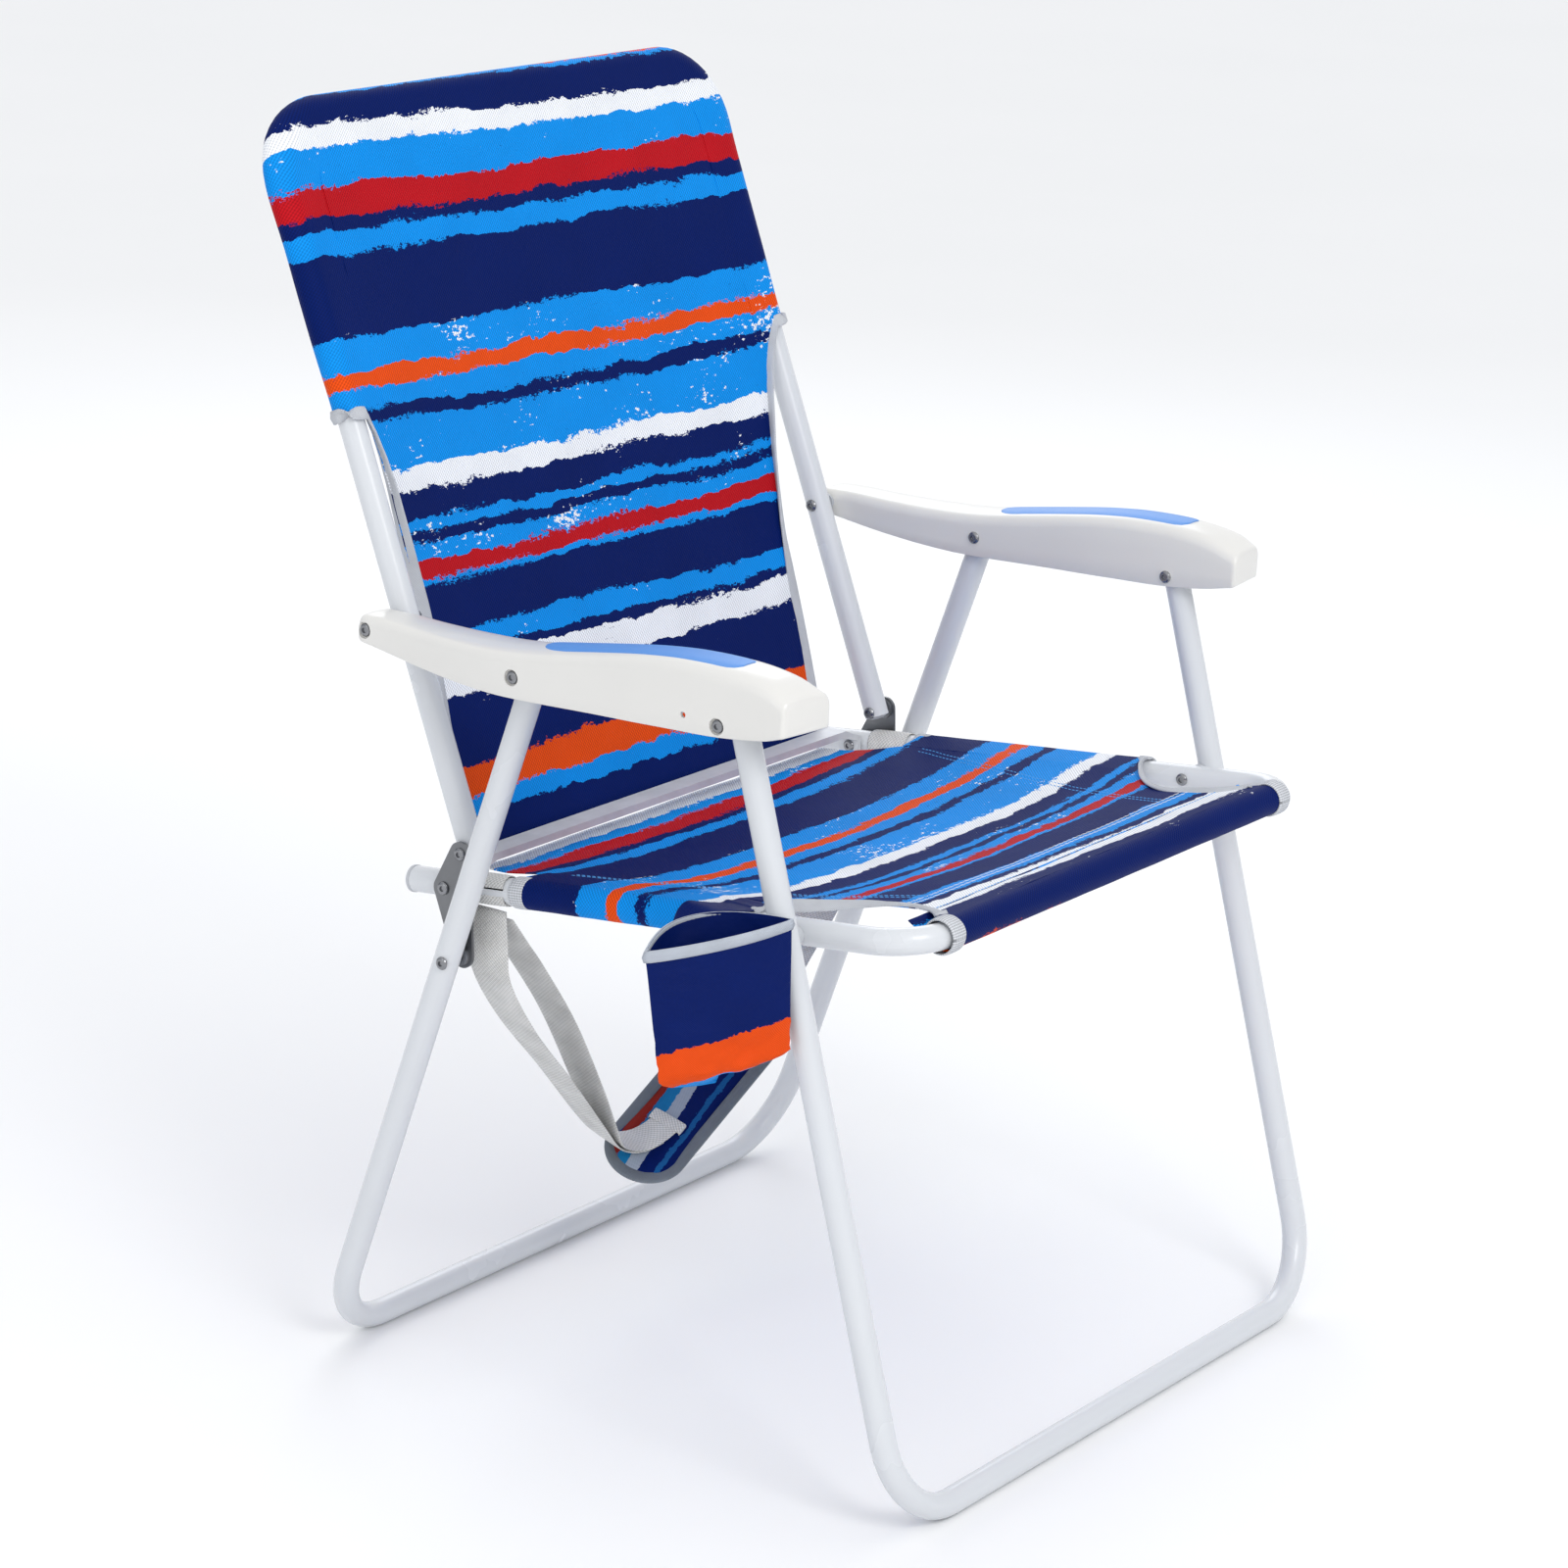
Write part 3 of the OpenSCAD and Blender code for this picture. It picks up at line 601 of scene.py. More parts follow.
# Half the width of the back's flat cloth, as (s, x): the free edge, then the seam of the sleeve
BACK_EDGE = [
    (BACK_LOW_S, 229), (0, 229), (100, 231), (175, 233), (230, 238), (277, 244), (300, 249), (318, 255),
    (326, 259), (SLEEVE_END_S, 263), (SLEEVE_END_S + 0.01, SEAM_X), (BACK_BEND_S, SEAM_X),
]


def back_edge(s):
    if s <= BACK_BEND_S:
        return lerp(BACK_EDGE, s)
    return BACK_BEND_X + math.sqrt(max(SEAM_BEND_R**2 - (s - BACK_BEND_S) ** 2, 0.0))


def back_set(x, s):
    """How far the cloth stands behind the tubes: taut from its sleeves down to the crossbar."""
    far = -33.0
    down = min(max((BACK_TOP_SEAM - s) / (BACK_TOP_SEAM - BACK_LOW_S), 0), 1)
    centre = SEAM_N + (far - SEAM_N) * down
    free = min(max(SLEEVE_END_S - s, 0) / (SLEEVE_END_S - BACK_LOW_S), 1)
    side = SEAM_N + (far - SEAM_N) * free**0.75
    e = min(abs(x) / SEAM_X, 1.0)
    n = side + (centre - side) * (1 - e * e)
    if abs(x) > SEAM_X:
        n += sleeve_lift(RAIL_X - abs(x)) - SEAM_N
    return n + 0.9 * wobble(x, s, 3.0, 75) + 0.35 * wobble(x, s * 2.2, 9.0, 24)


def build_panel(places, edge_at, shares, count, on_frame, set_fn, cloth_at, material):
    """The flat cloth between the seams, and where it is free, on out to its edge by these shares."""
    rows, uv_rows = [], []
    for s in places:
        e = edge_at(s)
        inner = min(e, SEAM_X)
        over = [inner + (e - inner) * t for t in shares]
        xs = [*[-x for x in reversed(over)], *np.linspace(-inner, inner, count), *over]
        rows.append([on_frame(x, s, set_fn(x, s)) for x in xs])
        uv_rows.append([(x, cloth_at(s)) for x in xs])
    panel = grid_mesh("panel", rows, uv_rows, material)
    fix_normals(panel)
    return panel


def back_cloth(s):
    """How far down the print the back's cloth is at s."""
    return BACK_LEN + 10 - s


def build_back_sling():
    ss = [*np.linspace(BACK_LOW_S, 300, 40), 306, 312, 318, 322, 326, 330, SLEEVE_END_S]
    ss += [SLEEVE_END_S + 0.02, *np.linspace(340, BACK_BEND_S, 22)]
    ss += [BACK_BEND_S + turn(a, SEAM_BEND_R)[1] for a in range(10, 91, 10)]
    shares = (0.25, 0.5, 0.75, 1.0)
    panel = build_panel(ss, back_edge, shares, 57, on_back, back_set, back_cloth, back_print)
    # Sleeve swept up one side, round the top and down the other, as (axis, outward, seam)
    stations = []
    for s in np.linspace(SLEEVE_END_S, BACK_BEND_S, 20):
        stations.append((RAIL_X, s, 1.0, 0.0, SEAM_X, s))
    for a in np.linspace(0, 90, 13)[1:]:
        c, t = turn(a)
        axis = (BACK_BEND_X + BEND_R * c, BACK_BEND_S + BEND_R * t)
        stations.append((*axis, c, t, BACK_BEND_X + SEAM_BEND_R * c, BACK_BEND_S + SEAM_BEND_R * t))
    for x in np.linspace(BACK_BEND_X, 0, 9)[1:]:
        stations.append((x, BACK_LEN, 0.0, 1.0, x, BACK_TOP_SEAM))
    stations += [(-a, b, -c, d, -e, f) for a, b, c, d, e, f in reversed(stations[:-1])]
    rows, uv_rows = [], []
    for x, s, ox, os, seam_x, seam_s in stations:
        row, uvs = [], []
        corner = math.exp(-(((abs(x) - 262) / 26) ** 2)) * math.exp(-(((s - 532) / 46) ** 2))
        side = 0.22 * abs(ox) * smooth((s - 350) / 60)
        for d, n, run in sleeve_profile():
            out = -d
            if out > 0:
                out *= 1 + 0.34 * corner + side
            row.append(on_back(x + ox * out, s + os * out, n + 0.35 * wobble(x, s, n, 30)))
            uvs.append((seam_x + ox * run, back_cloth(seam_s + os * run)))
        rows.append(row)
        uv_rows.append(uvs)
    sleeve = grid_mesh("sleeve", rows, uv_rows, back_print)
    fix_normals(sleeve)
    for o in (panel, sleeve):
        thicken(o, 1.1)
    return join("back_sling_cloth", [panel, sleeve])


SIDE_FROM, SIDE_TO = 64, 279
# Half the width of the seat's flat cloth, as (s, x): up to the sleeves, along them, then the cut-out
SEAT_EDGE = [
    (-10, 224), (8, 226), (40, 231), (SIDE_FROM, SEAM_X), (SIDE_TO, SEAM_X), (SIDE_TO + 0.01, 262),
    (284, 252), (292, 240), (304, 225), (318, 212), (331, 204), (344, 200), (370, 200), (384, 205),
    (395, 213), (404, 222), (412, 226),
]
FRONT_FACE_S = SEAT_LEN - FACE_D
BAR_BEND_R = 40.0


def seat_edge(s):
    return lerp(SEAT_EDGE, s)


def seat_set(x, s):
    """Sag of the seat under its own tension, and the rise over the front bar and rails."""
    e = min(abs(x) / SEAM_X, 1.0)
    rear = smooth((s + 10) / 90)
    n = SEAM_N * (e**4 + (1 - e**4) * smooth((s - 250) / 134)) * rear
    n -= 7.0 * (1 - e * e) * math.sin(math.pi * min(max((s + 10) / 420, 0), 1)) ** 0.8
    if s > SEAT_LEN - SEAM_D:
        n += sleeve_lift(max(SEAT_LEN - s, FACE_D)) - SEAM_N
    if abs(x) > SEAM_X:
        n += sleeve_lift(RAIL_X - abs(x)) - SEAM_N
    n += 2.0 * smooth((20 - s) / 30)
    return n + 0.8 * wobble(x, s, 5.0, 70) + 0.3 * wobble(x, s * 2, 1.0, 22)


def seat_cloth(s):
    """How far down the print the seat's cloth is at s."""
    return 54 + s * 1.03


def build_seat_sling():
    ss = [*np.linspace(-10, 60, 9), SIDE_FROM, *np.linspace(74, SIDE_TO, 22)]
    ss += [SIDE_TO + 0.02, 281.5, 284, 288, 292, *np.linspace(297, 384, 15)]
    ss += [388, 392, 396, 400, 404, 407, FRONT_FACE_S]
    shares = (0.34, 0.67, 1.0)
    parts = [build_panel(ss, seat_edge, shares, 55, on_seat, seat_set, seat_cloth, seat_print)]
    for sign in (1, -1):
        rows, uv_rows = [], []
        for s in np.linspace(SIDE_FROM, SIDE_TO, 26):
            row, uvs = [], []
            for d, n, run in sleeve_profile():
                row.append(on_seat(sign * (RAIL_X - d), s, n + 0.3 * wobble(s, n, d, 25)))
                uvs.append((sign * (SEAM_X + run), seat_cloth(s)))
            rows.append(row)
            uv_rows.append(uvs)
        side = grid_mesh("side", rows, uv_rows, seat_print)
        fix_normals(side)
        parts.append(side)
    rows, uv_rows = [], []
    for x in np.linspace(-232, 232, 41):
        row, uvs = [], []
        back = max(abs(x) - (RAIL_X - BAR_BEND_R), 0)
        drop = BAR_BEND_R - math.sqrt(BAR_BEND_R**2 - back * back)
        for d, n, run in sleeve_profile(skip_face=True):
            row.append(on_seat(x, SEAT_LEN - drop - d, n + 0.25 * wobble(x, n, d, 30)))
            uvs.append((x, seat_cloth(SEAT_LEN - SEAM_D + run)))
        rows.append(row)
        uv_rows.append(uvs)
    front = grid_mesh("front", rows, uv_rows, seat_print)
    fix_normals(front)
    parts.append(front)
    for o in parts:
        thicken(o, 1.1)
    return join("seat_sling_cloth", parts)


back_sling = piece(build_back_sling(), "back", "sling_cloth", "back_sling")
seat_sling = piece(build_seat_sling(), "seat", "sling_cloth", "seat_sling")


def ring(name, centre, radius, length, along="s", lump=0.25):
    """Knit cuff round a seat tube: centre is (x, s); along says which way the tube runs there."""
    rows, uv_rows = [], []
    for i in range(9):
        t = i / 8 - 0.5
        r = radius + 0.55 * (1 - (2 * t) ** 4) - 0.5 * (abs(t) == 0.5)
        row, uvs = [], []
        for k in range(40):
            c, q = turn(9 * k)
            rr = r + lump * wobble(c * 9, q * 9, t * 20, 5)
            x, s = (rr * c, t * length) if along == "s" else (t * length, rr * c)
            row.append(on_seat(centre[0] + x, centre[1] + s, rr * q))
            uvs.append((math.radians(9 * k) * radius, t * length))
        rows.append(row)
        uv_rows.append(uvs)
    obj = grid_mesh(name, rows, uv_rows, knit_white, close_rows=True)
    fix_normals(obj)
    thicken(obj, 0.8)
    return obj


def edge_tape(name, body, on_frame, set_fn, sign, start, radius, around, edge, lift, count, width):
    """White tape from round the sleeved tube, at places s around, down a free edge of (x, s) points."""
    path, normals = [], []
    for k, s in enumerate(around):
        c, n = turn(start - (start - 72) * k / (len(around) - 1), radius)
        path.append(on_frame(sign * (RAIL_X - c), s, n))
        normals.append(apart(path[-1], on_frame(sign * RAIL_X, s, 0)))
    for x, s in edge:
        path.append(on_frame(sign * x, s, set_fn(sign * x, s) + lift))
        normals.append(apart(on_frame(0, 0, 1), on_frame(0, 0, 0)))
    tape = ribbon(name, spline(path, count), spline(normals, count), width, 2.4, bias_white)
    piece(tape, body, "sling_cloth")


BACK_TAPE_S = (331, 326, 318, 309, 300, 289, 277, 254, 230, 203, 175, 138, 100, 60, 25, 0, -10)
SEAT_TAPE_S = (283, 292, 304, 318, 331, 344, 357, 370, 384, 395, 403)
for sign, side in SIDES:
    around = [SLEEVE_END_S + 2 - 2.5 * smooth((k - 6) / 7) for k in range(14)]
    edge = [(back_edge(s) - 2.0, s) for s in BACK_TAPE_S]
    edge_tape(f"back_binding_{side}", "back", on_back, back_set, sign, 250, SLEEVE_R + 1.3, around, edge,
              0.5, 90, 10.5)
for sign, side in SIDES:
    around = [SIDE_TO - 1] * 10
    edge = [(seat_edge(s) - 2.5, s) for s in SEAT_TAPE_S]
    edge_tape(f"seat_binding_{side}", "seat", on_seat, seat_set, sign, 240, SLEEVE_R + 0.8, around, edge,
              0.6, 70, 10.0)
    cuff = ring(f"rail_cuff_{side}", (sign * RAIL_X, 65.5), SLEEVE_R - 0.1, 15, lump=0.05)
    piece(cuff, "seat", "sling_cloth")
    cuff = ring(f"front_cuff_{side}", (sign * 231, SEAT_LEN - 0.3), SLEEVE_R + 1.6, 16, "x")
    piece(cuff, "seat", "sling_cloth")


def stitch_line(ends, material, zigzag=0.0, pitch=4.2, size=0.45):
    """A run of separate raised stitches on the seat, between two (x, s) points, straight or zigzag."""
    (x0, s0), (x1, s1) = ends
    length = math.hypot(x1 - x0, s1 - s0)
    count = int(length / pitch)
    dx, ds = (x1 - x0) / length, (s1 - s0) / length
    verts, faces, uvs = [], [], []
    for i in range(count):
        a = (i + 0.12) * pitch
        b = (i + 0.88) * pitch
        za = zigzag if i % 2 else -zigzag
        p0 = np.array((x0 + dx * a - ds * za, s0 + ds * a + dx * za))
        t = np.array((x0 + dx * b + ds * za, s0 + ds * b - dx * za)) - p0
        w = np.array((-t[1], t[0])) / math.hypot(*t) * size
        start = len(verts)
        for f, h, k in ((0.0, 0.25, 0.35), (0.2, 0.75, 1.0), (0.8, 0.75, 1.0), (1.0, 0.25, 0.35)):
            cx, cs = p0 + t * f
            base = seat_set(cx, cs) + 0.55
            for q, rise in ((-k, 0), (0, h * 0.7), (k, 0)):
                verts.append(on_seat(cx + w[0] * q, cs + w[1] * q, base + rise))
            uvs += [(a, 0), (a, 1), (a, 2)]
        for q in range(3):
            r = start + q * 3
            faces += [(r, r + 1, r + 4, r + 3), (r + 1, r + 2, r + 5, r + 4)]
    return make_mesh("stitches", verts, faces, uvs, material)


for sign, side in SIDES:
    lines = [stitch_line(((sign * x, 84), (sign * (x - 69), 361)), thread_blue) for x in (235, 229)]
    piece(join(f"seat_side_stitching_{side}", lines), "seat", "sling_cloth")
lines = [
    stitch_line(((-196, 354.5), (196, 354.5)), thread_white, 0.9, 3.4),
    stitch_line(((-196, 360), (196, 360)), thread_white, 0.9, 3.4),
    stitch_line(((-200, 383), (200, 383)), thread_blue),
]
piece(join("seat_front_stitching", lines), "seat", "sling_cloth")

# ---- armrests

ARM_IN, ARM_OUT, ARM_TAIL_OUT = 279.4, 327.7, 316.5
ARM_NOSE, ARM_TAIL = -167, 233
# Side view of the armrest, as (y, lower edge, upper edge, crown)
ARM_TABLE = [
    (ARM_NOSE, 583, 604, 2.0), (-154, 579, 611, 4.5), (-138, 576, 614.5, 5), (-116, 573, 617.5, 5),
    (-92, 571, 618, 5), (-62, 570, 617, 5), (-30, 568.5, 613.5, 5), (4, 567.5, 608, 5),
    (36, 566, 602.5, 5), (68, 564.5, 597.5, 4.5), (100, 564, 594.5, 4), (135, 565.5, 593.5, 3.5),
    (170, 568.5, 593.5, 3), (206, 573, 595, 2.5), (ARM_TAIL, 577, 594.5, 1.5),
]


def arm_at(y):
    """Lower edge, upper edge, crown and outer side at y."""
    out = ARM_TAIL_OUT + (ARM_OUT - ARM_TAIL_OUT) * smooth((230 - y) / 150)
    return *(lerp(ARM_TABLE, y, column) for column in (1, 2, 3)), out


ARM_SMOOTH = {}


def arm_smooth(y):
    """arm_at, averaged over 28 mm so that the outline has no corners."""
    key = round(y, 3)
    if key not in ARM_SMOOTH:
        k = [arm_at(min(max(y + d, ARM_NOSE), ARM_TAIL)) for d in (-14, -7, 0, 7, 14)]
        w = (1, 2, 3, 2, 1)
        ARM_SMOOTH[key] = [sum(a[i] * b for a, b in zip(k, w)) / 9 for i in range(4)]
    return ARM_SMOOTH[key]


def end_inset(y):
    """How far the sides draw in near each end, for its rounded corners."""
    for t, r in ((y - ARM_NOSE, 3.5), (ARM_TAIL - y, 7.0)):
        if t < r:
            return r - math.sqrt(max(r**2 - (r - t) ** 2, 0))
    return 0.0


def arm_top(y, f):
    """Height of the crowned top at share f of the width."""
    low, top, crown, out = arm_smooth(y)
    return top + crown * (1 - abs(2 * f - 1) ** 2.4)


def arm_outline(y):
    """The section's corners and sides at y, as (x, z), from the inner lower corner outwards."""
    low, top, crown, out = arm_smooth(y)
    g = end_inset(y)
    xi, xo = ARM_IN + g * 0.8, out - g
    low += g * 0.55
    drop = g * 0.4
    w = out - ARM_IN
    foot, shoulder = low + 1.8, top - drop - 6.5

    def rounded(x0, inwards, degrees):
        """A point of a rounded upper corner, its flat share crowned."""
        c, s = turn(degrees)
        x = x0 + inwards * 5.5 * (1 - c)
        return x, shoulder + 6.5 * s + crown * (1 - abs(2 * (x - ARM_IN) / w - 1) ** 2.4) * s

    pts = [(xi + 1.2, low), (xo - 1.6, low), (xo - 0.4, low + 0.5), (xo, foot)]
    pts += [(xo, foot + (shoulder - foot) * t) for t in (0.25, 0.5, 0.75)]
    pts += [rounded(xo, -1, a) for a in (0, 22, 45, 67, 90)]
    for f in (0.8, 0.7, 0.6, 0.5, 0.4, 0.3, 0.2):
        x = min(max(ARM_IN + w * f, xi + 5.5), xo - 5.5)
        pts.append((x, arm_top(y, (x - ARM_IN) / w) - drop))
    pts += [rounded(xi, 1, a) for a in (90, 67, 45, 22, 0)]
    pts += [(xi, foot + (shoulder - foot) * t) for t in (0.7, 0.35)]
    return pts + [(xi, low + 1.4), (xi + 0.4, low + 0.4)]


def loft_solid(name, rings, material=None):
    """A closed solid through rings of points, with a flat face over each end."""
    n = len(rings[0])
    verts = sum(rings, [])
    faces = [tuple(range(n))]
    for i in range(len(rings) - 1):
        for j in range(n):
            k = (j + 1) % n
            faces.append((i * n + j, (i + 1) * n + j, (i + 1) * n + k, i * n + k))
    faces.append(tuple(range(len(verts) - 1, len(verts) - 1 - n, -1)))
    obj = make_mesh(name, verts, faces, None, material)
    fix_normals(obj)
    return obj


def x_peg(x0, x1, y, z, r):
    """A round peg along x, to cut or add."""
    around = [turn(a, r) for a in np.linspace(0, 360, 33)[:-1]]
    return loft_solid("peg", [[(x, y + c, z + s) for c, s in around] for x in (x0, x1)])


def carve(obj, tools, bosses=()):
    """Adds the bosses to a solid, then takes the tools away from it."""
    for tool in (*bosses, *tools):
        operation = "UNION" if tool in bosses else "DIFFERENCE"
        modify(obj, "BOOLEAN", operation=operation, solver="EXACT", object=tool)
        discard(tool)


def build_arm(sign):
    ys = [ARM_NOSE, -166.6, -165.6, -164, -162, -159.5, -157.5, *np.linspace(-152, 222, 58)]
    ys += [226.2, 228.5, 230.3, 231.8, 232.7, ARM_TAIL]
    # The front face slants: its outer corner stands 6.5 mm further back than its inner one
    slant = [6.5 * max(-147 - y, 0) / 20 / (ARM_OUT - ARM_IN) for y in ys]
    arm = loft_solid("arm", [
        [(sign * x, y + k * (x - ARM_IN), z) for x, z in arm_outline(y)] for y, k in zip(ys, slant)
    ], arm_white)
    cavity = []
    for y in np.linspace(-152, 170, 40):
        low, top, crown, out = arm_smooth(y)
        xi, xo, roof = ARM_IN + 3, out - 3, top - 3.2
        pts = [(xi, low - 6), (xo, low - 6), (xo, roof - 4), (xo - 1.2, roof - 1.2), (xo - 4, roof),
               (xi + 4, roof), (xi + 1.2, roof - 1.2), (xi, roof - 4)]
        cavity.append([(sign * x, y, z) for x, z in pts])
    carve(arm, [loft_solid("cavity", cavity)])
    bosses = []
    for y, z in (ARM_REAR, ARM_FRONT):
        out = arm_smooth(y)[3]
        bosses.append(x_peg(sign * 306.3, sign * (out - 1.5), y, z, 8))
        bosses.append(x_peg(sign * (ARM_IN + 1.5), sign * 285.7, y, z, 7))
    pegs = []
    for y, z in (ARM_REAR, ARM_FRONT, ARM_BACK):
        out = arm_at(y)[3]
        pegs.append(x_peg(sign * (out - 2.3), sign * (out + 4), y, z, 6.2))
        pegs.append(x_peg(sign * (ARM_IN - 1), sign * (out + 1), y, z, 3.4))
    # The small open hole behind the front rivet
    pegs.append(x_peg(sign * (ARM_OUT - 5), sign * 330, ARM_FRONT[0] + 29, ARM_FRONT[1] + 3, 2.3))
    carve(arm, pegs, bosses)
    soften(arm)
    return arm


def build_inlay(sign):
    """Thin strip laid in the crown, with rounded tapering ends."""
    rows = []
    for y in (-113, -112, -109, -104, -98, *np.linspace(-90, 36, 22), 44, 50, 55, 59, 61.5, 63):
        w = arm_smooth(y)[3] - ARM_IN
        near = min((y + 114) / 17, 1.0)
        far = min((64 - y) / 27, 1.0)
        half = max(1 - (1 - near) ** 3.2, 0.02) ** 0.42 * max(1 - (1 - far) ** 3.0, 0.02) ** 0.42 * 0.315
        f0 = 0.5 - half - 0.05 * (1 - far)
        f1 = 0.5 + half - 0.05 * (1 - far)
        top = []
        for t in np.linspace(0, 1, 11):
            f = f0 + (f1 - f0) * t
            lift = 0.65 * (1 - abs(2 * t - 1) ** 8) + 0.08
            top.append((sign * (ARM_IN + w * f), y, arm_top(y, f) + lift))
        low = [(p[0], p[1], p[2] - 1.6) for p in reversed(top)]
        rows.append(top + low)
    obj = loft_solid("inlay", rows, inlay_blue)
    soften(obj, 50)
    return obj


for sign, side in SIDES:
    arm = build_arm(sign)
    arm.name = f"armrest_shell_{side}"
    piece(arm, "arms", "arm_plastic", f"armrest_{side}")
    strip = build_inlay(sign)
    strip.name = f"armrest_strip_{side}"
    piece(strip, "arms", "inlay_plastic", f"armrest_inlay_{side}")

# ---- cup pouch

CUP_NEAR = np.array([-310.5, -163.0])
CUP_FAR = np.array([-400.0, -103.0])
CUP_KNEE = np.array([-310.5, -110.0])
CUP_HEEL = np.array([-330.0, -65.0])
CUP_MID = (CUP_NEAR + CUP_FAR) / 2 + np.array([12.0, 14.0])
CUP_LEAN = np.array([-3.0, -14.0])
CUP_OUT = np.array([-0.557, -0.831])
CUP_DEPTH = 100.0


def cup_plan(count=36):
    pts = []
    for i in range(count):
        t = i / count
        pts.append(CUP_NEAR + (CUP_FAR - CUP_NEAR) * t + 7 * math.sin(math.pi * t) ** 0.8 * CUP_OUT)
    for i in range(count):
        t = 1 - i / count
        u = 1 - t
        pts.append(u**3 * CUP_NEAR + 3 * u * u * t * CUP_KNEE + 3 * u * t * t * CUP_HEEL + t**3 * CUP_FAR)
    return pts


def cup_rim(p):
    return 449 + 0.146 * (p[0] - CUP_NEAR[0]) - 0.051 * (p[1] - CUP_NEAR[1])


def cup_point(p, depth, inset=0.0, crease=1.0):
    k = 1 - 0.12 * depth / CUP_DEPTH
    d = p - CUP_MID
    q = CUP_MID + d * k + CUP_LEAN * depth / CUP_DEPTH
    outward = d / np.linalg.norm(d)
    low = smooth((depth - 52) / 40)
    fold = 3.6 * low * wobble(p[0], p[1], depth * 2.2, 21) + 1.8 * low * wobble(p[0], p[1], depth * 1.6, 10)
    fold += 0.9 * wobble(p[0], p[1], depth, 42)
    q = q + outward * (fold * crease - inset)
    sag = 2.2 * low * wobble(p[0] * 0.7, p[1] * 0.7, 4.0, 23)
    return (min(q[0], -309.3), q[1], cup_rim(p) - depth + sag)


def cup_material():
    m = Nodes("pouch_print")
    vec, u, v = m.uv()
    wave = m.sub(m.grain(vec, (38, 60, 1), 4.0, 0.65), 0.5)
    jag = m.sub(m.grain(vec, (190, 420, 1), 3.0, 0.7), 0.5)
    depth = m.add(v, m.add(m.mul(wave, 0.014), m.mul(jag, 0.006)))
    depth = m.sub(depth, m.mul(u, 0.05))
    colour = m.ramp(m.math("DIVIDE", depth, 0.15), [(0.0, NAVY), (0.455, ORANGE), (0.66, SKY)], True)
    height = weave(m, u, v, 1.6)
    tone = m.grain(vec, (25, 25, 1), 3.0)
    k = m.mul(m.add(m.mul(height, 0.36), 0.82),
               m.add(m.mul(tone, 0.3), 0.85))
    colour = m.shade(colour, k)
    crumple = m.grain(vec, (26, 44, 1), 3.0, 0.55)
    creased = m.bump(crumple, 0.55, 0.006)
    return m.finish(colour, 0.5, m.bump(height, 0.5, 0.0004, creased), specular=0.09)


def build_cup():
    plan = cup_plan()
    rows, uv_rows, run = [], [], [0.0]
    for i in range(1, len(plan)):
        run.append(run[-1] + float(np.linalg.norm(plan[i] - plan[i - 1])))
    for depth in (0, 3, 8, 15, 24, 33, 42, 51, 56, 61, 65, 69, 73, 77, 80, 83, 86, 88, 90, 91.5, 93):
        rows.append([cup_point(p, depth) for p in plan])
        uv_rows.append([(a, depth) for a in run])
    centre = CUP_MID + CUP_LEAN
    for share, depth in ((0.93, 96.5), (0.8, 99.2), (0.55, 101.5), (0.28, 103), (0.06, 103.4)):
        row = []
        for p in plan:
            x, y, z = cup_point(p, 93)
            cz = z - (depth - 93) * 0.9
            row.append((centre[0] + (x - centre[0]) * share, centre[1] + (y - centre[1]) * share, cz))
        rows.append(row)
        uv_rows.append([(a, depth + (1 - share) * 25) for a in run])
    obj = grid_mesh("cup_pouch", rows, uv_rows, cup_cloth, close_rows=True)
    fix_normals(obj)
    thicken(obj, 1.5, -1.0)
    return obj


cup_cloth = cup_material()
cup = piece(build_cup(), "seat", "pouch_cloth", "cup_holder")
plan = cup_plan(30)
path = [cup_point(p, 4.0, -0.2) for p in plan]
outward = [np.array([*(p - CUP_MID), 0.0]) for p in plan]
rim = ribbon("cup_rim_binding", path, outward, 8.6, 2.8, rim_grey, closed=True)
piece(rim, "seat", "pouch_cloth")
# The hanging tab comes off the pouch's rear panel and lies over the rail's sleeve
tab_path = [(-327, -84, 424), (-325, -87, 436), (-317, -90, 442.5), (-302, -92, 440), (-287, -92, 436)]
for a in (105, 90, 75, 60):
    c, n = turn(a, 13.3)
    tab_path.append(on_seat(-RAIL_X + c, 262 + 1.5, n))
tab_path.append(on_seat(-247, 263, 10.4))
tab_normals = [(-1, 0.2, 0.25), (-0.7, 0.1, 0.8), (-0.1, 0, 1), (0.25, 0, 1), (0.2, 0, 1),
               (-0.1, 0, 1), (0, 0, 1), (0.2, 0, 1), (0.4, 0, 1), (0.3, 0, 1)]
tab = ribbon("cup_tab", spline(tab_path, 40), spline(tab_normals, 40), 30.0, 1.8, cup_cloth, crown=0.05)
piece(tab, "seat", "pouch_cloth")

# ---- carry strap and shoulder pad

STRAP_Y = 138.0
WEB_W = 37.0


def strand(points, twist, end=WEB_W):
    """A run of webbing; it tilts from one angle of twist to the other, and narrows to end at its end."""
    pts = spline(points, 60)
    normals, width = [], []
    for i in range(len(pts)):
        t = pts[min(i + 1, len(pts) - 1)] - pts[max(i - 1, 0)]
        t /= np.linalg.norm(t)
        f = i / (len(pts) - 1)
        angle = twist[0] + (twist[1] - twist[0]) * f
        across = np.array([0.0, *turn(angle)])
        across = across - t * float(across @ t)
        n = np.cross(across, t)
        if n[2] < 0:
            n = -n
        normals.append(n / np.linalg.norm(n))
        width.append(WEB_W + (end - WEB_W) * smooth((f - 0.72) / 0.24))
    return ribbon("strand", pts, normals, width, 1.5, webbing, crown=0.05)


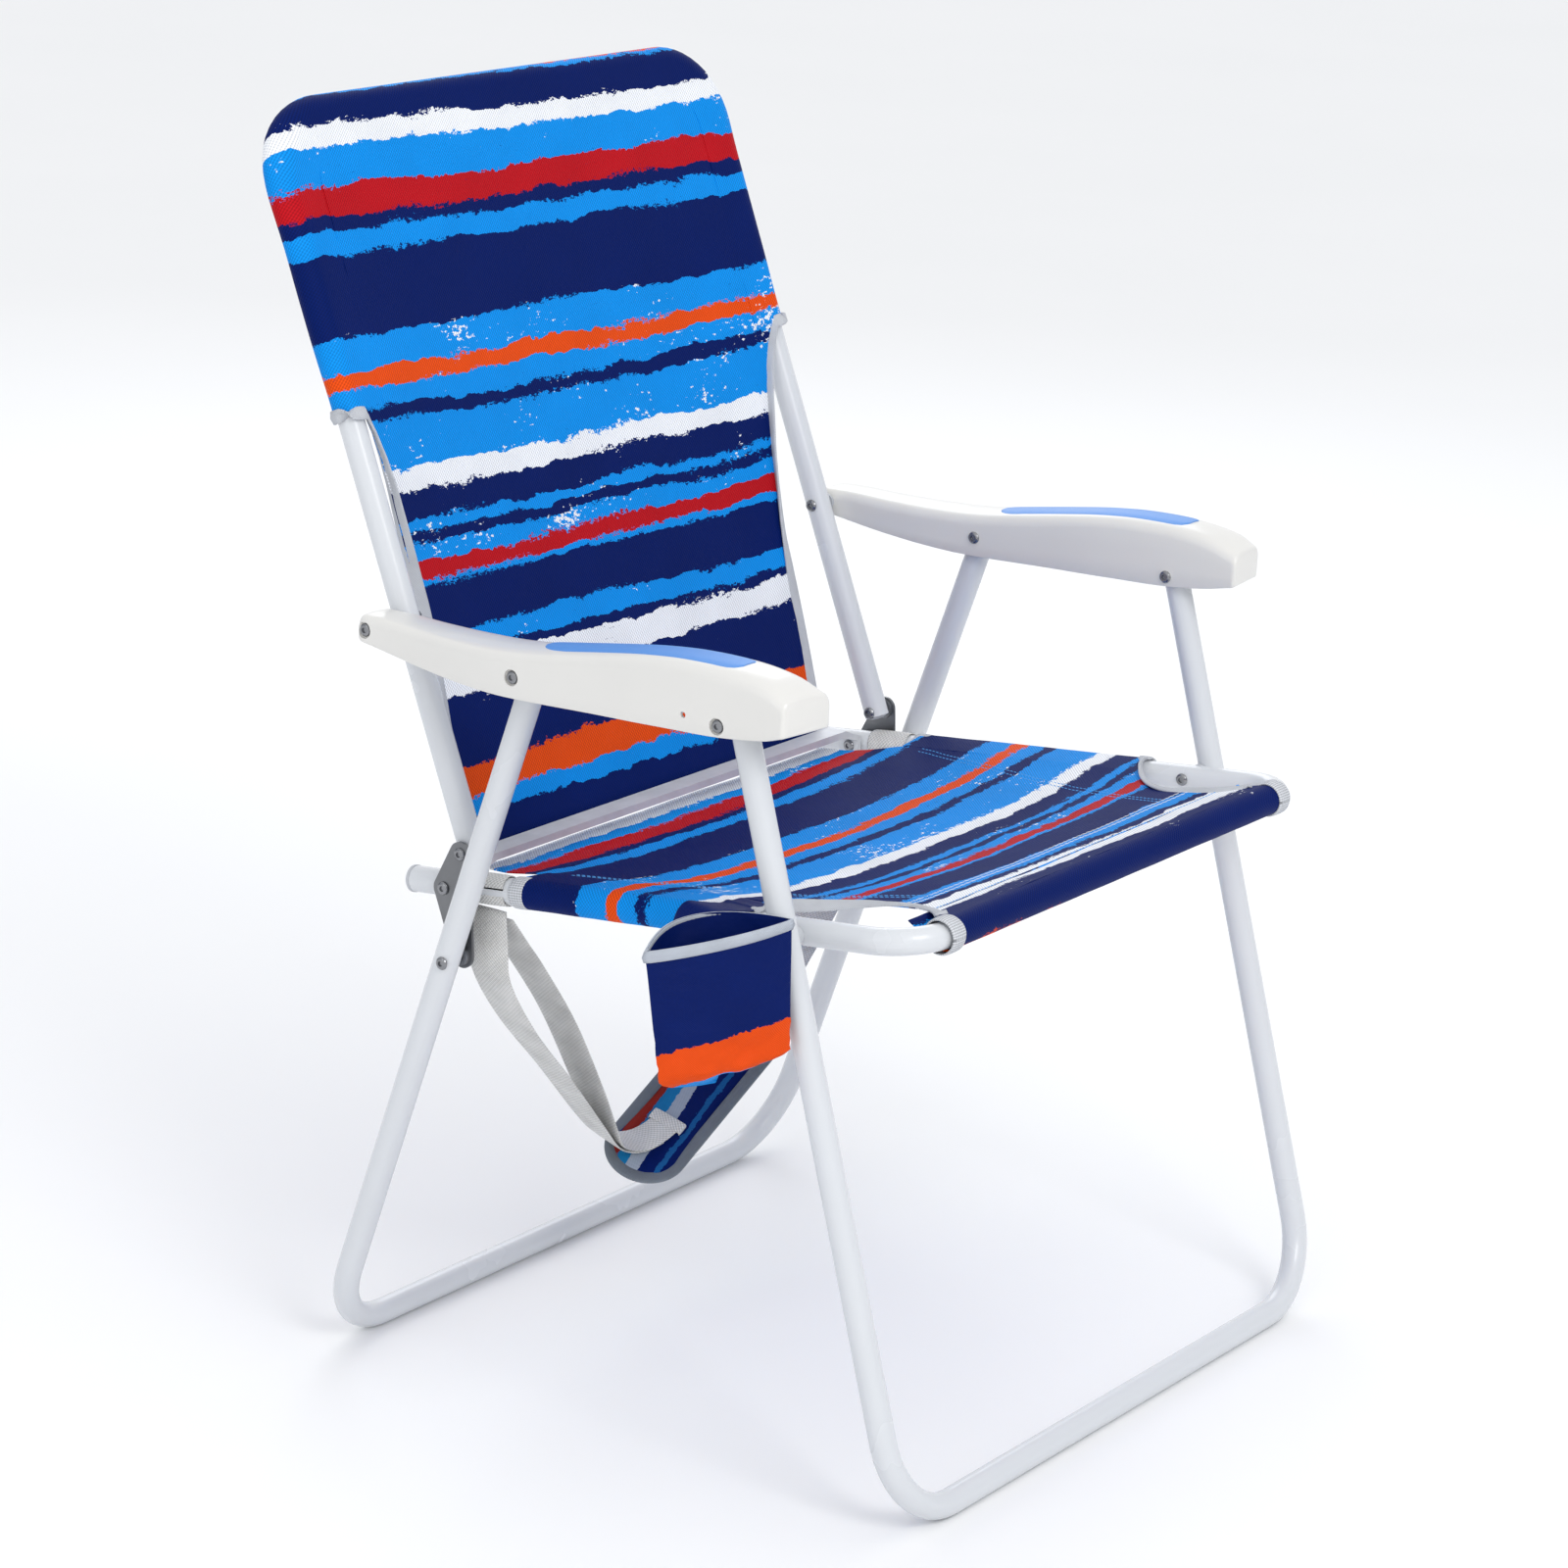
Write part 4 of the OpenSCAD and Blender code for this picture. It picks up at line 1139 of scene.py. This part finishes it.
def rail_loop(sign, s=34):
    """The webbing's turn round the seat rail, let into the tube where the link plate passes."""
    path, normals = [], []
    for k in range(22):
        c, n = turn(-60 + 330 * k / 21, TUBE_R + 1.3)
        path.append(on_seat(sign * (RAIL_X - c), s, n))
        normals.append(apart(path[-1], on_seat(sign * RAIL_X, s, 0)))
    obj = ribbon("loop", path, normals, WEB_W, 1.4, webbing, crown=0.05)
    limit = (276.7 + sign * SHIFT[0]) / 1000
    for v in obj.data.vertices:
        if sign * v.co.x > limit:
            v.co.x = sign * limit
    return obj


PAD_AT = np.array([-86.0, 136.0, 114.5])
PAD_LEN, PAD_W, PAD_T = 222.0, 58.0, 9.0
rise, tip = math.radians(27.0), math.radians(21.0)
PAD_U = np.array([math.cos(rise), 0.0, math.sin(rise)])
PAD_V = np.array([-math.sin(rise) * math.sin(tip), math.cos(tip), math.cos(rise) * math.sin(tip)])
PAD_N = np.cross(PAD_U, PAD_V)


def on_pad(u, v, n):
    """u along the pad, v across it, n out of its upper face, which bows a little."""
    bow = -5.0 * math.sin(math.pi * min(max(u / PAD_LEN, 0), 1))
    return tuple(PAD_AT + PAD_U * u + PAD_V * v + PAD_N * (n + bow))


def pad_half(u):
    r = PAD_W / 2
    if u < r:
        return math.sqrt(max(r * r - (r - u) ** 2, 0))
    if u > PAD_LEN - r:
        return math.sqrt(max(r * r - (u - PAD_LEN + r) ** 2, 0))
    return r


def pad_material():
    m = Nodes("pad_print")
    vec, u, v = m.uv()
    wave = m.sub(m.grain(vec, (22, 60, 1), 4.0, 0.6), 0.5)
    jag = m.sub(m.grain(vec, (150, 420, 1), 3.0, 0.7), 0.5)
    across = m.add(v, m.add(m.mul(wave, 0.010), m.mul(jag, 0.004)))
    across = m.sub(m.mul(u, 0.05), across)
    place = m.math("DIVIDE", m.add(across, 0.045), 0.09)
    stops = [(0.0, NAVY), (0.24, (0.25, 0.02, 0.015)), (0.34, (0.01, 0.17, 0.40)), (0.46, (0.33, 0.38, 0.46)),
             (0.56, NAVY), (0.70, (0.01, 0.10, 0.30)), (0.75, NAVY)]
    colour = m.ramp(place, stops, True)
    height = weave(m, u, v, 1.6)
    colour = m.shade(colour, m.add(m.mul(height, 0.4), 0.78))
    return m.finish(colour, 0.7, m.bump(height, 0.5, 0.0004), specular=0.07)


def build_pad():
    """A crowned foam pad with two sewn runs along it, pinched to its bound edge all round."""
    us = [0.4, 2, 5, 9, 14, 20, 27] + list(np.linspace(34, PAD_LEN - 34, 26))
    us += [PAD_LEN - a for a in (27, 20, 14, 9, 5, 2, 0.4)]
    parts = []
    for face in (1, -1):
        rows, uv_rows = [], []
        for u in us:
            h = pad_half(u)
            row, uvs = [], []
            for t in np.linspace(-1, 1, 25):
                v = h * t
                near = min(h - abs(v), 12) / 12
                puff = (1 - (1 - near) ** 2) * min(u, PAD_LEN - u, 14) / 14
                seam = math.exp(-(((abs(v) - 17) / 1.6) ** 2)) * 1.3
                n = 1.3 + (PAD_T / 2 - 1.3) * puff - seam * puff + 0.4 * wobble(u, v, face, 14)
                row.append(on_pad(u, v, PAD_T / 2 + face * n))
                uvs.append((u, v))
            rows.append(row)
            uv_rows.append(uvs)
        parts.append(grid_mesh("face", rows, uv_rows, pad_mat))
    obj = join("shoulder_pad_body", parts)
    fix_normals(obj)
    return obj


pad_mat = pad_material()
pad = build_pad()
path, normals = [], []
for k in range(72):
    c, s = turn(5 * k)
    r = PAD_W / 2
    u = (PAD_LEN - r if c > 0 else r) + r * c
    path.append(on_pad(u, r * s, PAD_T / 2))
    normals.append(PAD_N)
binding = ribbon("shoulder_pad_binding", path, normals, 10.0, 4.6, bias_grey, closed=True, crown=0.1)

top = PAD_T + 1.4
upper = [
    (-262, STRAP_Y, 372), (-243, STRAP_Y, 350), (-222, STRAP_Y, 326), (-180, STRAP_Y, 272),
    (-140, STRAP_Y + 1, 208), (-117, STRAP_Y + 4, 171), (-101, STRAP_Y + 7, 150), (-86, STRAP_Y + 8, 141),
    on_pad(26, 8, top + 2.0), on_pad(42, 2, top + 0.8), on_pad(57, 0, top + 0.2),
]
lower = [
    (-267, STRAP_Y + 3, 379), (-264, STRAP_Y + 3, 352), (-259, STRAP_Y + 3, 322), (-228, STRAP_Y + 2, 277),
    (-178, STRAP_Y + 2, 224), (-128, STRAP_Y + 5, 171), (-105, STRAP_Y + 7, 149), (-87, STRAP_Y + 8, 138.6),
    on_pad(25, 8, top + 0.4), on_pad(42, 2, top - 0.6),
]
far = [
    on_pad(150, 0, PAD_T / 2), on_pad(190, 0, PAD_T / 2), on_pad(PAD_LEN - 4, 0, PAD_T / 2 + 0.6),
    (124, STRAP_Y, 236), (160, STRAP_Y, 268), (208, STRAP_Y, 314), (240, STRAP_Y, 352), (262, STRAP_Y, 374),
]
strap_parts = [strand(upper, (0, 20), 25), strand(lower, (0, 20), 25), strand(far, (6, 0))]
strap = join("carry_strap_webbing", [*strap_parts, rail_loop(1), rail_loop(-1)])
keepers = []
for at, half, rise_by in ((58, 14.5, 0.9), (150, 9.0, 0.3)):
    path, normals = [], []
    for k in range(28):
        c, q = turn(360 * k / 28)
        v = half * math.copysign(abs(c) ** 0.35, c)
        n = PAD_T + rise_by + 1.9 * math.copysign(abs(q) ** 0.5, q)
        path.append(on_pad(at, v, n))
        normals.append(apart(on_pad(at, v * 1.2 + 4 * c, n + 5 * q), path[-1]))
    keepers.append(ribbon("k", path, normals, 11.0, 1.0, webbing, closed=True, crown=0.05))
keepers = join("pad_keeper_loops", keepers)

for obj, slot_name, nodes in ((pad, "pad_cloth", ("shoulder_pad",)), (strap, "webbing", ("carry_strap",)),
                              (binding, "pad_cloth", ()), (keepers, "webbing", ("strap_keepers",))):
    piece(obj, "seat", slot_name, *nodes)
    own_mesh(obj)

# ---- floor, light and camera

bpy.ops.mesh.primitive_plane_add(size=30, location=(0, 0, 0))
floor = bpy.context.object
floor.name = "floor"
m = Nodes("floor_pale")
tone = m.ramp(m.noise(m.object_coord(), 1.3, 3.0), [(0.0, (0.90, 0.905, 0.91)), (1.0, (0.93, 0.93, 0.935))])
floor.data.materials.append(m.finish(tone, 0.7, specular=0.2))

world = bpy.data.worlds.new("studio")
bpy.context.scene.world = world
world.use_nodes = True
# White all round, with two greyer side walls that give the tubes and rivets their shading
sky = world.node_tree
walls = sky.nodes.new("ShaderNodeValToRGB")
for k, (position, colour) in enumerate(((0.42, (0.99, 0.995, 1.0, 1.0)), (0.95, (0.52, 0.55, 0.61, 1.0)))):
    walls.color_ramp.elements[k].position = position
    walls.color_ramp.elements[k].color = colour
side_wall = sky.nodes.new("ShaderNodeVectorMath")
side_wall.operation = "DOT_PRODUCT"
side_wall.inputs[1].default_value = (0.567, -0.824, 0.0)
either = sky.nodes.new("ShaderNodeMath")
either.operation = "ABSOLUTE"
background = sky.nodes["Background"]
background.inputs[1].default_value = 1.06
for a, b in (
    (sky.nodes.new("ShaderNodeTexCoord").outputs["Generated"], side_wall.inputs[0]),
    (side_wall.outputs["Value"], either.inputs[0]),
    (either.outputs[0], walls.inputs[0]),
    (walls.outputs[0], background.inputs[0]),
):
    sky.links.new(a, b)


def area_light(name, at, size, power, colour):
    data = bpy.data.lights.new(name, "AREA")
    data.shape = "RECTANGLE"
    data.size, data.size_y = size
    data.energy = power
    data.color = colour
    obj = add_object(name, data)
    obj.location = at
    obj.rotation_euler = (Vector((0, 0, 0.5)) - Vector(at)).to_track_quat("-Z", "Y").to_euler()


area_light("key", (-1.2, -2.6, 2.6), (1.3, 1.3), 36, (1.0, 0.99, 0.97))
area_light("fill", (-3.2, 0.6, 1.6), (1.2, 2.2), 6, (0.93, 0.96, 1.0))
area_light("rim", (2.4, 1.8, 2.2), (1.4, 1.8), 16, (0.92, 0.95, 1.0))

camera_data = bpy.data.cameras.new("camera")
camera = add_object("camera", camera_data)
bpy.context.scene.camera = camera
camera_data.sensor_width = 36.0
camera_data.lens = 109.09
camera_data.clip_start = 0.05
camera_data.clip_end = 100
yaw, pitch, roll = 0.96821, -0.28716, 0.04753
forward = Vector((math.sin(yaw) * math.cos(pitch), math.cos(yaw) * math.cos(pitch), math.sin(pitch)))
right = Vector((math.cos(yaw), -math.sin(yaw), 0))
upward = right.cross(forward)
rolled_right = right * math.cos(roll) + upward * math.sin(roll)
rolled_up = upward * math.cos(roll) - right * math.sin(roll)
basis = Matrix((rolled_right, rolled_up, -forward)).transposed().to_4x4()
camera.matrix_world = Matrix.Translation(P(-2916.22, -1944.14, 1478.95)) @ basis

bpy.context.scene.view_settings.view_transform = "Standard"
bpy.context.scene.view_settings.exposure = 0.0
